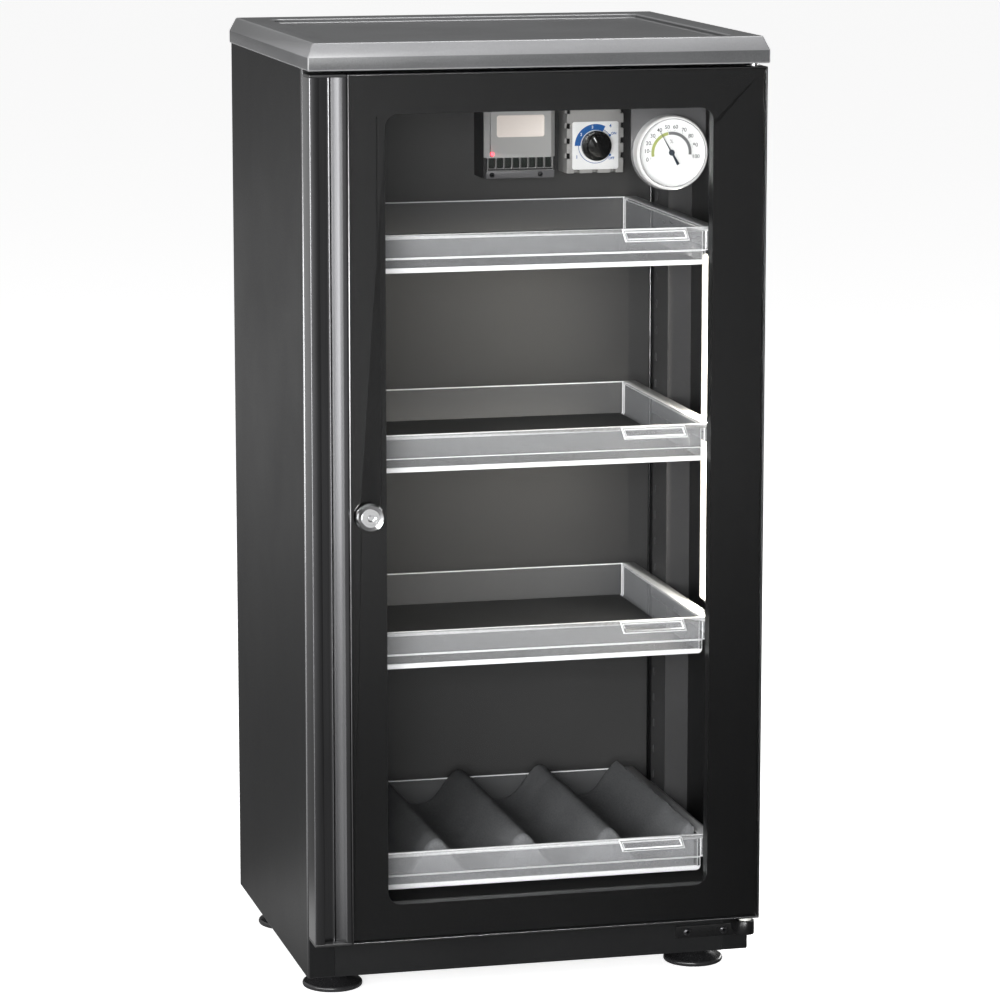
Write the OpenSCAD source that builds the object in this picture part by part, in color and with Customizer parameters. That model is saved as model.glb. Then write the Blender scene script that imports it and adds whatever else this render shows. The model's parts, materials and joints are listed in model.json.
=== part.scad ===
// Camera dry cabinet: a steel body on four feet, a full-height glass door with a scooped grip,
// four clear pull-out trays on slotted uprights, a drying unit, a humidity dial and a light bar.
// Seen from the front, +X is right, +Y goes into the cabinet and +Z is up.
// The origin is on the floor, in the middle of the outer box.

/* [Body] */
// Width of the steel body
body_width = 398; // [394:1:402]
// Depth of the steel body
body_depth = 322; // [318:1:326]
// Height of the steel body, without feet and lid
body_height = 787; // [784:1:792]
// Thickness of the body's sheet steel
sheet = 1.2; // [1:0.1:1.4]
// Outer radius of the folds in the sheet
bend_radius = 2; // [1.6:0.1:2.4]
// Width of the flanges that frame the front opening
front_flange = 24; // [22:0.5:25]
// Depth of the lips folded back from the front flanges
return_lip = 10; // [8:0.5:11]
// Height of the panel below the door opening
kick_height = 60; // [56:1:62]
// How far the kick panel stands above the inner floor
floor_step = 4; // [3:0.5:5]
// Height of the rail above the door opening
header_height = 35; // [32:1:36]
// Space between the inner ceiling and the top of the body
roof_space = 16; // [14:1:18]

/* [Lid] */
// Overhang of the lid at the sides and the back
lid_overhang = 1.2; // [0.8:0.1:2]
// How far the lid reaches in front of the door
lid_front_overhang = 2.2; // [1:0.1:3]
// Height of the lid's upright face
lid_face = 11.2; // [10:0.2:13]
// Height of the bevel above that face
lid_bevel_height = 11.8; // [10:0.2:13]
// How far the bevel runs in
lid_bevel_inset = 5.3; // [4:0.1:7]
// Width of the raised rim at the sides
lid_rim_side = 30; // [26:1:34]
// Width of the raised rim at the back
lid_rim_back = 38; // [34:1:42]
// Width of the raised rim at the front
lid_rim_front = 15; // [12:1:18]
// Depth of the recess in the top
lid_recess = 4; // [3:0.5:5]
// Radius of the recess corners
lid_recess_radius = 9; // [6:0.5:12]
// Wall of the moulded lid
lid_wall = 3; // [2.5:0.1:3.4]

/* [Feet] */
// Radius of a foot
foot_radius = 26.5; // [24:0.5:27]
// Gap between the floor and the body
foot_height = 24; // [22:0.5:26]
// Height of a foot's rim
foot_rim = 5; // [5:0.1:6]
// Height at which the sloping top of a foot meets its neck
foot_disc = 11; // [9:0.5:13]
// Radius of the rounded rim
foot_round = 2.2; // [1.8:0.1:2.4]
// Radius of a foot's neck
foot_neck = 11; // [9:0.5:13]
// Foot centre to the side of the body
foot_side_inset = 33.5; // [30:0.5:36]
// Foot centre to the front and the back of the body
foot_end_inset = 57.5; // [52:0.5:66]

/* [Door] */
// Thickness of the door
door_thickness = 27; // [26:0.5:28]
// Gap between the closed door and the body
door_gap = 7; // [6.5:0.1:7.5]
// Bottom of the door above the bottom of the body
door_rise = 37; // [36:0.5:38]
// Gap between the door and the lid
door_top_gap = 3; // [2.8:0.1:3.4]
// Width of the grip profile
grip_width = 32.5; // [31:0.1:34]
// Width of the grip's flat lip
grip_lip = 8.6; // [7:0.1:10]
// Thickness of the grip's lip
grip_lip_thickness = 2.6; // [2.2:0.1:3]
// Shift of the scoop's axis from the middle of the grip to its outer side
scoop_shift = 0.65; // [0.4:0.05:0.8]
// Least wall between the scoop and the outer side of the grip
scoop_wall = 3.2; // [2.8:0.1:3.6]
// Scoop axis behind the door's front
grip_scoop_depth = 0.8; // [0.6:0.1:1.6]
// Height of a grip end cap
cap_height = 2.5; // [2:0.1:3]
// Thickness of the glass
glass_thickness = 4; // [3.5:0.1:4.2]
// Thickness of the black printed border
border_thickness = 0.4; // [0.3:0.05:0.5]
// Clear window to the outer left side of the door
window_left = 65.4; // [64:0.2:68]
// Clear window to the outer right side of the door
window_right = 47; // [45:0.2:49]
// Clear window to the bottom of the door
window_bottom = 32.3; // [31:0.1:34]
// Clear window to the top of the door
window_top = 34; // [33:0.1:36]
// Corner radius of the clear window
window_radius = 11.5; // [8:0.5:14]
// Wall of the door's steel frame
door_wall = 1.6; // [1.4:0.1:1.6]

/* [Hinges and lock] */
// Hinge axis to the right side of the door
pivot_inset = 8; // [8:0.1:8.5]
// Hinge axis to the back of the door
pivot_back = 11; // [10.5:0.1:11.5]
// Radius of a hinge pin
pin_radius = 3.5; // [3:0.1:3.5]
// Running clearance of pins and shafts, on the radius
running_gap = 0.06; // [0.03:0.01:0.09]
// Radius of the hinge lug
lug_radius = 8; // [7.5:0.1:8]
// Height of the lock above the bottom of the body
lock_rise = 409.7; // [395:0.5:425]
// Lock axis to the outer left side of the door
lock_inset = 50; // [49.5:0.1:50.4]
// Radius of the lock's face ring
lock_radius = 12.4; // [11:0.1:12.6]
// How far the lock stands proud of the door
lock_proud = 4; // [3:0.1:4.6]
// Length of the cam from the lock's axis
cam_reach = 32; // [31:0.1:33]

/* [Uprights and trays] */
// Pitch of the slots in the uprights
slot_pitch = 24.6; // [24.4:0.1:24.8]
// Least height of the lowest slot above the inner floor
slot_floor_gap = 20; // [14:1:25]
// Top slot below the top of the body
slot_top_drop = 90; // [88:0.5:92]
// Width of an upright
upright_width = 46; // [42:1:48]
// How far an upright's face lies behind the edge of the front opening
upright_set = 1; // [0.6:0.1:1.5]
// Front uprights behind the front of the body
front_upright_set = 14; // [13:0.5:15]
// Rear uprights to the back panel
rear_upright_gap = 85.6; // [80:0.2:92]
// Slot centre to the rear edge of an upright
slot_edge = 8.5; // [7:0.5:10]
// Front of the trays behind the front of the body
tray_set = 20; // [19:0.5:22]
// Gap between a tray and the back panel
tray_back_gap = 39.6; // [38:0.2:48]
// Gap between a tray's rim and the uprights
tray_side_gap = 4; // [3.6:0.1:6]
// Width of the rim that rests on a rail
tray_ledge = 10.5; // [9.5:0.1:12]
// Depth of a tray
tray_depth = 33; // [31:0.5:34]
// Height of a tray's front
tray_front_height = 20.5; // [19:0.5:22]
// Wall of a tray
tray_wall = 2; // [1.8:0.1:2.4]
// Thickness of a tray's rim
tray_rim = 3; // [2.6:0.1:3.4]
// Radius of a tray's lower corners
tub_radius = 4; // [3:0.5:5]
// Slot of each tray as a share of the way from the top slot to the lowest
tray_slot_shares = [0.12, 0.4, 0.68, 1]; // [0:0.04:1]
// Rim of a tray above the slot that carries it
tray_above_slot = 19.5; // [18:0.5:20]

/* [Drying unit, control and humidity dial] */
// Width of the drying unit
drier_width = 67; // [66:1:74]
// Gap between the drying unit and the control box
drier_gap = 13.5; // [12:0.5:16]
// Depth of the drying unit
drier_depth = 43; // [40:0.5:46]
// Height of the drying unit
drier_height = 100; // [96:1:102]
// Width of the control box
control_width = 54; // [50:1:56]
// Gap between the control box and the line of the uprights
control_gap = 14.5; // [12:0.5:18]
// Depth of the control box
control_depth = 31; // [28:0.5:34]
// Side of the square dial plate
dial_side = 44; // [40:0.5:46]
// Radius of the control knob
knob_radius = 13.8; // [12:0.2:15]
// Height of the control knob
knob_height = 12; // [10:0.5:13]
// Radius of the humidity dial
hygrometer_radius = 32; // [30:0.5:32.5]
// Gap between the humidity dial's plate and the line of the uprights
hygrometer_gap = 10; // [8:0.5:12]
// Depth of the humidity dial's case
hygrometer_depth = 14; // [12:0.5:16]
// Length of the light bar
light_length = 312; // [290:1:320]
// Depth of the vent cover at the back
vent_depth = 28; // [24:0.5:30]

/* [Hidden] */
$fn = 64;
half_body = body_width / 2;
total_depth = lock_proud + door_thickness + door_gap + body_depth + vent_depth;
y_door = lock_proud - total_depth / 2;
y_door_back = y_door + door_thickness;
y_body = y_door_back + door_gap;
y_back = y_body + body_depth;
y_back_inside = y_back - 2 * sheet;
y_lip = y_body + return_lip;
z_body = foot_height;
z_top = z_body + body_height;
z_kick = z_body + kick_height;
z_floor = z_kick - floor_step;
z_header = z_top - header_height;
z_ceiling = z_top - roof_space;
x_wall = half_body - sheet;
x_opening = half_body - front_flange;
z_door = z_body + door_rise;
z_door_top = z_top - door_top_gap;
x_grip = grip_width - half_body;
window_x = [window_left - half_body, half_body - window_right];
window_z = [z_door + window_bottom, z_door_top - window_top];
pivot = [half_body - pivot_inset, y_door_back - pivot_back];
lock = [lock_inset - half_body, z_body + lock_rise];
glass_set = 0.3;
glass_front = y_door + glass_set;
glass_back = glass_front + glass_thickness;
border_back = glass_back + border_thickness;
frame_sheet = 1.2;
frame_back = border_back + frame_sheet;
pan_front = y_door_back - frame_sheet;
frame_show = 3;
frame_x = [window_x[0] - frame_show, window_x[1] + frame_show];
frame_z = [window_z[0] - frame_show, window_z[1] + frame_show];
barrel_radius = 9;
barrel_gap = 0.2;
plug_radius = 5.5;
upright_face = x_opening + upright_set;
upright_rise = 21;
upright_top = z_top - slot_top_drop + upright_rise;
rail_sheet = 1.2;
rail_below_slot = 3.65;
rail_gap = 0.15;
rail_edge = 1.5;
slot_size = [4, 7];
tab_size = [3.2, 6];
y_tray = y_body + tray_set;
y_tray_back = y_back_inside - tray_back_gap;
tray_half = upright_face - tray_side_gap;
tub_half = tray_half - tray_ledge;
z_slot = z_top - slot_top_drop;
slot_count = 1 + floor((z_slot - z_floor - slot_floor_gap) / slot_pitch);
tray_slots = [for (share = tray_slot_shares) round(share * (slot_count - 1))];
tray_top = [for (n = tray_slots) z_slot - n * slot_pitch + tray_above_slot];
bracket_margin = 1.5;
control_x = upright_face - control_gap - control_width / 2;
drier_x = control_x - control_width / 2 - drier_gap - drier_width / 2;
hygrometer_x = upright_face - hygrometer_gap - bracket_margin - hygrometer_radius;
light_reach = 3.5;
light_low = tray_top[0] - tray_depth + light_reach - light_length;
overlap = 0.01;

// A box between two opposite corners
module span(low, high) {
  translate(low) cube([high[0] - low[0], high[1] - low[1], high[2] - low[2]]);
}

// A rectangle with rounded corners between two opposite corners
module rounded(low, high, r) {
  w = high[0] - low[0];
  d = high[1] - low[1];
  translate([low[0] + r, low[1]]) square([w - 2 * r, d]);
  translate([low[0], low[1] + r]) square([w, d - 2 * r]);
  for (x = [low[0] + r, high[0] - r], y = [low[1] + r, high[1] - r]) translate([x, y]) circle(r);
}

// Extrudes an outline drawn in X and Z from one depth to another
module along_y(y0, y1) {
  translate([0, y1, 0]) rotate([90, 0, 0]) linear_extrude(y1 - y0) children();
}

// Extrudes an outline drawn in Y and Z from one side to another
module along_x(x0, x1) {
  translate([x0, 0, 0]) rotate([90, 0, 90]) linear_extrude(x1 - x0) children();
}

// Extrudes an outline drawn in X and Y between two heights
module along_z(z0, z1) {
  translate([0, 0, z0]) linear_extrude(z1 - z0) children();
}

// A round bar along the depth, centred at a point in X and Z
module rod_y(at, r, y0, y1) {
  along_y(y0, y1) translate(at) circle(r);
}

// A screw with a domed head that faces the front, its head resting on the face at y
module front_screw(x, y, z, r) {
  rod_y([x, z], r, y - screw_head_height, y);
  rod_y([x, z], screw_core_share * r, y - overlap, y + screw_length);
}
screw_head_height = 1.4;
screw_core_share = 0.45;
screw_length = 5;
screw_radius = 3.7;
small_screw_radius = 2.4;

module both_sides() {
  children();
  mirror([1, 0, 0]) children();
}

// Body panels

lock_notch = 24;

module side_section() {
  intersection() {
    difference() {
      rounded([half_body - 2 * front_flange, y_body], [half_body, y_back], bend_radius);
      rounded([half_body - 3 * front_flange, y_body + sheet], [x_wall, y_back - sheet],
              bend_radius - sheet);
    }
    translate([x_opening, y_body]) square([front_flange, body_depth]);
  }
  translate([x_opening, y_body + sheet - overlap]) square([sheet, return_lip - sheet + overlap]);
}

module side_panel() {
  along_z(z_body, z_top) side_section();
}

module right_side_panel() {
  color([0.16, 0.165, 0.17]) side_panel();
}

module left_side_panel() {
  color([0.16, 0.165, 0.17]) difference() {
    mirror([1, 0, 0]) side_panel();
    span([-x_opening - 2 * sheet, y_body + sheet, lock[1] - lock_notch],
         [-x_opening + sheet, y_lip + sheet, lock[1] + lock_notch]);
  }
}

vent_hole = [46, 60];
vent_hole_drop = 75;
vent_hole_z = z_top - vent_hole_drop;
gland_x = -60;
gland_rise = 76;
gland_at = [gland_x, z_body + gland_rise];
gland_radius = 8;
gland_bore = 3.5;

module back_panel() {
  color([0.13, 0.13, 0.135]) difference() {
    span([bend_radius - x_wall, y_back_inside, z_body], [x_wall - bend_radius, y_back - sheet, z_top]);
    span([drier_x - vent_hole[0] / 2, y_back_inside - sheet, vent_hole_z - vent_hole[1] / 2],
         [drier_x + vent_hole[0] / 2, y_back, vent_hole_z + vent_hole[1] / 2]);
    rod_y(gland_at, gland_radius, y_back_inside - sheet, y_back);
  }
}

pan_lip = 12;

module ceiling_panel() {
  color([0.12, 0.12, 0.125]) {
    span([-x_wall, y_lip, z_ceiling], [x_wall, y_back_inside, z_ceiling + sheet]);
    both_sides() span([x_wall - sheet, y_lip, z_ceiling], [x_wall, y_back_inside, z_ceiling + pan_lip]);
  }
}

module floor_panel() {
  color([0.12, 0.12, 0.125]) {
    span([-x_wall, y_lip, z_floor - sheet], [x_wall, y_back_inside, z_floor]);
    both_sides() span([x_wall - sheet, y_lip, z_floor - pan_lip], [x_wall, y_back_inside, z_floor]);
  }
}

module base_plate() {
  color([0.14, 0.14, 0.145]) {
    span([-x_wall, y_lip, z_body], [x_wall, y_back_inside, z_body + sheet]);
    both_sides() span([x_wall - sheet, y_lip, z_body], [x_wall, y_back_inside, z_body + pan_lip]);
  }
}

module kick_panel() {
  color([0.13, 0.135, 0.14]) {
    span([-x_opening, y_body, z_body], [x_opening, y_body + sheet, z_kick]);
    span([-x_opening, y_body, z_kick - sheet], [x_opening, y_lip, z_kick]);
    span([-x_opening, y_lip - sheet, z_floor - sheet], [x_opening, y_lip, z_kick]);
    span([-x_opening, y_body, z_body], [x_opening, y_lip, z_body + sheet]);
  }
}

module header_panel() {
  color([0.13, 0.135, 0.14]) {
    span([-x_opening, y_body, z_header], [x_opening, y_body + sheet, z_top]);
    span([-x_opening, y_body, z_header], [x_opening, y_lip, z_header + sheet]);
    span([-x_opening, y_lip - sheet, z_header], [x_opening, y_lip, z_ceiling + sheet]);
    span([-x_opening, y_body, z_top - sheet], [x_opening, y_lip, z_top]);
  }
}

// Lid

lid_half = half_body + lid_overhang;
lid_front = y_door - lid_front_overhang;
lid_back = y_back + lid_overhang;
lid_edge = z_top + lid_face;
lid_top = lid_edge + lid_bevel_height;
lid_hollow = 13;
lid_rib = 4;
hinge_plate = 1.8;

module bevelled_outline(low, high) {
  polygon([[low, z_top], [high, z_top], [high, lid_edge], [high - lid_bevel_inset, lid_top],
           [low + lid_bevel_inset, lid_top], [low, lid_edge]]);
}

module top_lid() {
  color([0.27, 0.275, 0.285]) difference() {
    intersection() {
      along_y(lid_front, lid_back) bevelled_outline(-lid_half, lid_half);
      along_x(-lid_half, lid_half) bevelled_outline(lid_front, lid_back);
    }
    along_z(lid_top - lid_recess, lid_top + lid_recess)
      rounded([-lid_half + lid_rim_side, lid_front + lid_rim_front],
              [lid_half - lid_rim_side, lid_back - lid_rim_back], lid_recess_radius);
    difference() {
      span([-lid_half + lid_wall, lid_front + lid_wall, z_top - overlap],
           [lid_half - lid_wall, lid_back - lid_wall, z_top + lid_hollow]);
      span([-half_body, y_body, z_top + 2 * hinge_plate],
           [half_body, y_body + lid_rib, z_top + lid_hollow + overlap]);
      span([-half_body, y_body, z_top - overlap],
           [pivot[0] - hinge_plate_width, y_body + lid_rib, z_top + lid_hollow]);
    }
  }
}

// Feet

module foot() {
  rotate_extrude() difference() {
    union() {
      polygon([[0, 0], [foot_radius - foot_round, 0], [foot_radius - foot_round, foot_rim],
               [foot_neck, foot_disc], [0, foot_disc]]);
      translate([0, foot_round]) square([foot_radius, foot_rim - 2 * foot_round]);
      translate([foot_radius - foot_round, foot_round]) circle(foot_round);
      translate([foot_radius - foot_round, foot_rim - foot_round]) circle(foot_round);
      square([foot_neck, foot_height]);
    }
    translate([-foot_radius, 0]) square([foot_radius, foot_height]);
  }
}

module feet() {
  color([0.05, 0.05, 0.055])
    for (y = [y_body + foot_end_inset, y_back - foot_end_inset])
      both_sides() translate([half_body - foot_side_inset, y, 0]) foot();
}

// Uprights and tray rails

module upright(y0) {
  y1 = y0 + upright_width;
  difference() {
    union() {
      span([upright_face, y0, z_floor], [upright_face + sheet, y1, upright_top]);
      span([upright_face, y0, z_floor], [x_wall, y0 + sheet, upright_top]);
      span([upright_face, y1 - sheet, z_floor], [x_wall, y1, upright_top]);
    }
    for (n = [0:slot_count - 1])
      translate([upright_face, y1 - slot_edge, z_slot - n * slot_pitch])
        cube([3 * sheet, slot_size[0], slot_size[1]], center = true);
  }
}

front_upright_y = y_body + front_upright_set;
rear_upright_y = y_back_inside - rear_upright_gap - upright_width;

module front_right_upright() {
  color([0.2, 0.2, 0.205]) upright(front_upright_y);
}
module rear_right_upright() {
  color([0.2, 0.2, 0.205]) upright(rear_upright_y);
}
module front_left_upright() {
  color([0.2, 0.2, 0.205]) mirror([1, 0, 0]) upright(front_upright_y);
}
module rear_left_upright() {
  color([0.2, 0.2, 0.205]) mirror([1, 0, 0]) upright(rear_upright_y);
}

// One rail under a tray's right rim, with a tab in a slot of each upright
module tray_rail(top) {
  rail_top = top - tray_rim - rail_gap;
  slot_z = top - tray_above_slot;
  y0 = y_tray + lip_depth + rail_edge;
  y1 = rear_upright_y + upright_width;
  span([upright_face - rail_sheet, y0, slot_z - rail_below_slot], [upright_face, y1, rail_top]);
  span([tub_half + rail_edge, y0, rail_top - rail_sheet], [upright_face, y1, rail_top]);
  for (y = [front_upright_y, rear_upright_y])
    translate([upright_face - overlap, y + upright_width - slot_edge - tab_size[0] / 2, slot_z - tab_size[1] / 2])
      cube([2 * sheet + overlap, tab_size[0], tab_size[1]]);
}

module right_tray_rails() {
  color([0.75, 0.76, 0.78]) for (t = tray_top) tray_rail(t);
}
module left_tray_rails() {
  color([0.75, 0.76, 0.78]) mirror([1, 0, 0]) for (t = tray_top) tray_rail(t);
}

// Trays: a clear tub with a rim that slides on the rails and a deep front

label_x = 114.5;
label_half = 28;
label_slope = 3;
label_rise = 9.5;
label_sink = 0.8;
front_wall = 2.6;
lip_depth = 9;
lip_edge = 1.2;

module tub_outline(top, inset, high) {
  low = top - tray_depth + inset;
  half = tub_half - inset;
  r = tub_radius - inset * tub_inner_share;
  translate([-half, low + r]) square([2 * half, high - low - r]);
  translate([r - half, low]) square([2 * (half - r), high - low]);
  for (x = [r - half, half - r]) translate([x, low + r]) circle(r);
}
tub_inner_share = 0.75;

module tray(top) {
  y1 = y_tray_back;
  panel_low = top - tray_front_height;
  difference() {
    union() {
      along_y(y_tray + front_wall / 2, y1) tub_outline(top, 0, top);
      span([-tray_half, y_tray, top - tray_rim], [tray_half, y1, top]);
      span([-tray_half, y_tray, panel_low], [tray_half, y_tray + front_wall, top]);
      both_sides() span([tray_half - tray_wall, y_tray, panel_low], [tray_half, y_tray + lip_depth, top]);
      along_y(y_tray - label_sink, y_tray + overlap) difference() {
        label_frame(top, 0);
        label_frame(top, lip_edge);
      }
    }
    along_y(y_tray + front_wall / 2 + tray_wall, y1 - tray_wall) tub_outline(top, tray_wall, top + tray_rim);
  }
}

// Outline of the tapered label holder on a tray's front
module label_frame(top, inset) {
  z1 = top - lip_edge - inset;
  z0 = top - lip_edge - label_rise + inset;
  polygon([[label_x - label_half + inset, z1], [label_x + label_half - inset, z1],
           [label_x + label_half + label_slope - inset, z0],
           [label_x - label_half + label_slope + inset, z0]]);
}

module tray_1() {
  color([0.86, 0.88, 0.9, 0.5]) tray(tray_top[0]);
}
module tray_2() {
  color([0.86, 0.88, 0.9, 0.5]) tray(tray_top[1]);
}
module tray_3() {
  color([0.86, 0.88, 0.9, 0.5]) tray(tray_top[2]);
}
module tray_4() {
  color([0.86, 0.88, 0.9, 0.5]) tray(tray_top[3]);
}

mat_thickness = 3;
mat_edge = 5.5;
mat_clear = 5;

module tray_mat(top) {
  low = top - tray_depth + tray_wall;
  span([mat_edge - tub_half, y_tray + mat_clear, low],
       [tub_half - mat_edge, y_tray_back - mat_clear, low + mat_thickness]);
}

module tray_1_mat() {
  color([0.2, 0.2, 0.21]) tray_mat(tray_top[0]);
}
module tray_2_mat() {
  color([0.2, 0.2, 0.21]) tray_mat(tray_top[1]);
}
module tray_3_mat() {
  color([0.2, 0.2, 0.21]) tray_mat(tray_top[2]);
}

// Wavy foam in the lowest tray, with hollows for round things
wave_count = 4;
wave_low = 9;
wave_high = 42;
wave_steps = 12;
wave_sharpness = 1.6;

module lens_cradle() {
  low = tray_top[3] - tray_depth + tray_wall;
  half = tub_half - mat_edge;
  period = 2 * half / wave_count;
  points = [for (i = [0:wave_count * wave_steps])
    [i * period / wave_steps - half,
     low + wave_low + (wave_high - wave_low) * pow((1 + cos(360 * i / wave_steps)) / 2, wave_sharpness)]];
  color([0.42, 0.43, 0.44])
    along_y(y_tray + mat_clear, y_tray_back - mat_clear)
      polygon(concat([[half, low]], [[-half, low]], points));
}

// Light bar behind the front right upright

light_width = 8.5;
light_x = [upright_face + sheet, upright_face + light_width];
light_depth = 9;
light_back = 1.5;
light_y = front_upright_y + upright_width;

module light_housing() {
  color([0.7, 0.71, 0.72]) {
    span([light_x[0], light_y, light_low], [light_x[1], light_y + light_back, light_low + light_length]);
    span([light_x[1] - light_back, light_y, light_low],
         [light_x[1], light_y + light_depth, light_low + light_length]);
    for (z = [light_low, light_low + light_length - light_back])
      span([light_x[0], light_y, z], [light_x[1], light_y + light_depth, z + light_back]);
  }
}

module light_diffuser() {
  color([1, 1, 0.96])
    span([light_x[0], light_y + light_back, light_low + light_back],
         [light_x[1] - light_back, light_y + light_depth, light_low + light_length - light_back]);
}

// Drying unit on the back wall

drier_x0 = drier_x - drier_width / 2;
drier_x1 = drier_x + drier_width / 2;
drier_drop = 9;
drier_top = z_ceiling - drier_drop;
drier_low = drier_top - drier_height;
drier_front = y_back_inside - drier_depth;
drier_shell = 6;
drier_wall = 3;
drier_bevel = 4.5;
grille_height = 12;
grille_rail = 2.4;
sill_height = 7;
fin_count = 8;
fin_width = 1.4;
cover_low = drier_low + sill_height + grille_height;

module drier_base() {
  color([0.1, 0.1, 0.105]) difference() {
    span([drier_x0, drier_front + drier_shell, drier_low], [drier_x1, y_back_inside, drier_top]);
    span([drier_x0 + drier_wall, drier_front, drier_low + sill_height],
         [drier_x1 - drier_wall, y_back_inside - drier_wall, drier_top - drier_wall]);
    span([drier_x - vent_hole[0] / 2, drier_front, vent_hole_z - vent_hole[1] / 2],
         [drier_x + vent_hole[0] / 2, y_back, vent_hole_z + vent_hole[1] / 2]);
  }
}

module drier_cover() {
  color([0.72, 0.72, 0.71]) difference() {
    along_z(cover_low, drier_top)
      polygon([[drier_x0, drier_front + drier_shell], [drier_x0, drier_front + drier_bevel],
               [drier_x0 + drier_bevel, drier_front], [drier_x1 - drier_bevel, drier_front],
               [drier_x1, drier_front + drier_bevel], [drier_x1, drier_front + drier_shell]]);
    span([drier_x0 + drier_bevel, drier_front + drier_wall, cover_low + drier_wall],
         [drier_x1 - drier_bevel, y_back_inside, drier_top - drier_wall]);
    rod_y(lamp_at, lamp_radius, drier_front - drier_shell, drier_front + drier_shell);
  }
}

lamp_inset = 6.6;
lamp_rise = 3.6;
lamp_at = [drier_x0 + lamp_inset, cover_low + lamp_rise];
lamp_radius = 1.6;
lamp_proud = 1;

module indicator_lamp() {
  color([0.9, 0.05, 0.04]) rod_y(lamp_at, lamp_radius, drier_front - lamp_proud, drier_front + drier_shell);
}

module drier_grille() {
  z0 = drier_low + sill_height;
  x0 = drier_x0 + grille_rail;
  x1 = drier_x1 - grille_rail;
  pitch = (x1 - x0) / fin_count;
  color([0.6, 0.6, 0.6]) {
    span([x0, drier_front + lamp_proud, z0], [x1, drier_front + drier_shell, z0 + grille_rail]);
    for (i = [0:fin_count])
      span([x0 + i * (pitch - fin_width / fin_count), drier_front + lamp_proud, z0],
           [x0 + i * (pitch - fin_width / fin_count) + fin_width, drier_front + drier_shell, cover_low]);
  }
}

module drier_sill() {
  color([0.33, 0.33, 0.34])
    span([drier_x0 + grille_rail / 2, drier_front + lamp_proud / 2, drier_low],
         [drier_x1 - grille_rail / 2, drier_front + drier_shell, drier_low + sill_height]);
}

cartridge_gap = 4;
board_thickness = 1.6;
board_set = 10;

module desiccant_cartridge() {
  color([0.8, 0.8, 0.76])
    span([drier_x0 + drier_wall + cartridge_gap, drier_front + board_set + cartridge_gap, drier_low + sill_height],
         [drier_x1 - drier_wall - cartridge_gap, y_back_inside - drier_wall, drier_top - 2 * board_set]);
}

module drier_circuit_board() {
  color([0.1, 0.35, 0.2]) {
    span([drier_x0 + drier_wall, drier_front + board_set, drier_low + sill_height],
         [drier_x1 - drier_wall, drier_front + board_set + board_thickness, drier_top - drier_wall]);
    for (i = [-1:1])
      span([drier_x + i * board_set - cartridge_gap, drier_front + board_set - drier_wall, vent_hole_z],
           [drier_x + i * board_set, drier_front + board_set, vent_hole_z + board_set]);
  }
}

vent_half = 52;
vent_height = 150;
vent_top_drop = 12;
vent_wall = 2.5;
vent_round = 8;
louvre_count = 9;
louvre_height = 3;
louvre_margin = 12;

module rear_vent_cover() {
  z1 = z_top - vent_top_drop;
  z0 = z1 - vent_height;
  y0 = y_back - sheet;
  y1 = y_back + vent_depth;
  pitch = (vent_height - 2 * louvre_margin) / louvre_count;
  color([0.1, 0.1, 0.105]) difference() {
    along_y(y0, y1) rounded([drier_x - vent_half, z0], [drier_x + vent_half, z1], vent_round);
    along_y(y0 - overlap, y1 - vent_wall)
      rounded([drier_x - vent_half + vent_wall, z0 + vent_wall],
              [drier_x + vent_half - vent_wall, z1 - vent_wall], vent_round - vent_wall);
    for (i = [0:louvre_count - 1])
      span([drier_x - vent_half + louvre_margin, y1 - 2 * vent_wall, z0 + louvre_margin + i * pitch],
           [drier_x + vent_half - louvre_margin, y1 + vent_wall, z0 + louvre_margin + i * pitch + louvre_height]);
  }
}

gland_flange = 11;
gland_flange_depth = 3;
gland_length = 10;

module cord_gland() {
  color([0.05, 0.05, 0.05]) difference() {
    union() {
      rod_y(gland_at, gland_radius - overlap, y_back_inside - gland_flange_depth, y_back - sheet + gland_length);
      rod_y(gland_at, gland_flange, y_back - sheet, y_back - sheet + gland_flange_depth);
      rod_y(gland_at, gland_flange, y_back_inside - gland_flange_depth, y_back_inside);
    }
    rod_y(gland_at, gland_bore, y_back_inside - 2 * gland_flange_depth, y_back + 2 * gland_length);
  }
}

// Control box with its dial

control_x0 = control_x - control_width / 2;
control_x1 = control_x + control_width / 2;
control_rise = 2;
control_low = drier_low + control_rise;
control_front = y_back_inside - control_depth;
control_wall = 2;
control_notch = [3, 8, 5];
control_notch_pitch = 13.8;
control_notch_rise = 16;
control_notch_count = 6;
control_slot_pitch = 17.25;
dial_rise = 25.5;
dial_z = control_low + dial_rise;
dial_thickness = 1;
dial_round = 2;
shaft_radius = 3;
shaft_bush = 6;
thermostat_radius = 14;
thermostat_depth = 14;

module control_box() {
  color([0.62, 0.6, 0.57]) difference() {
    span([control_x0, control_front, control_low], [control_x1, y_back_inside, drier_top]);
    span([control_x0 + control_wall, control_front + control_wall, control_low + control_wall],
         [control_x1 - control_wall, y_back_inside + overlap, drier_top - control_wall]);
    for (i = [0:control_notch_count - 1])
      for (x = [control_x0, control_x1])
        translate([x - control_notch[0], control_front - overlap,
                   control_low + control_notch_rise + i * control_notch_pitch - control_notch[2] / 2])
          cube([2 * control_notch[0], control_notch[1], control_notch[2]]);
    for (i = [-1:1])
      translate([control_x + i * control_slot_pitch - control_notch[2] / 2,
                 control_front - overlap, control_low - control_notch[0]])
        cube([control_notch[2], control_notch[1], 2 * control_notch[0]]);
    rod_y([control_x, dial_z], shaft_bush, control_front - control_wall, control_front + 2 * control_wall);
  }
}

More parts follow.
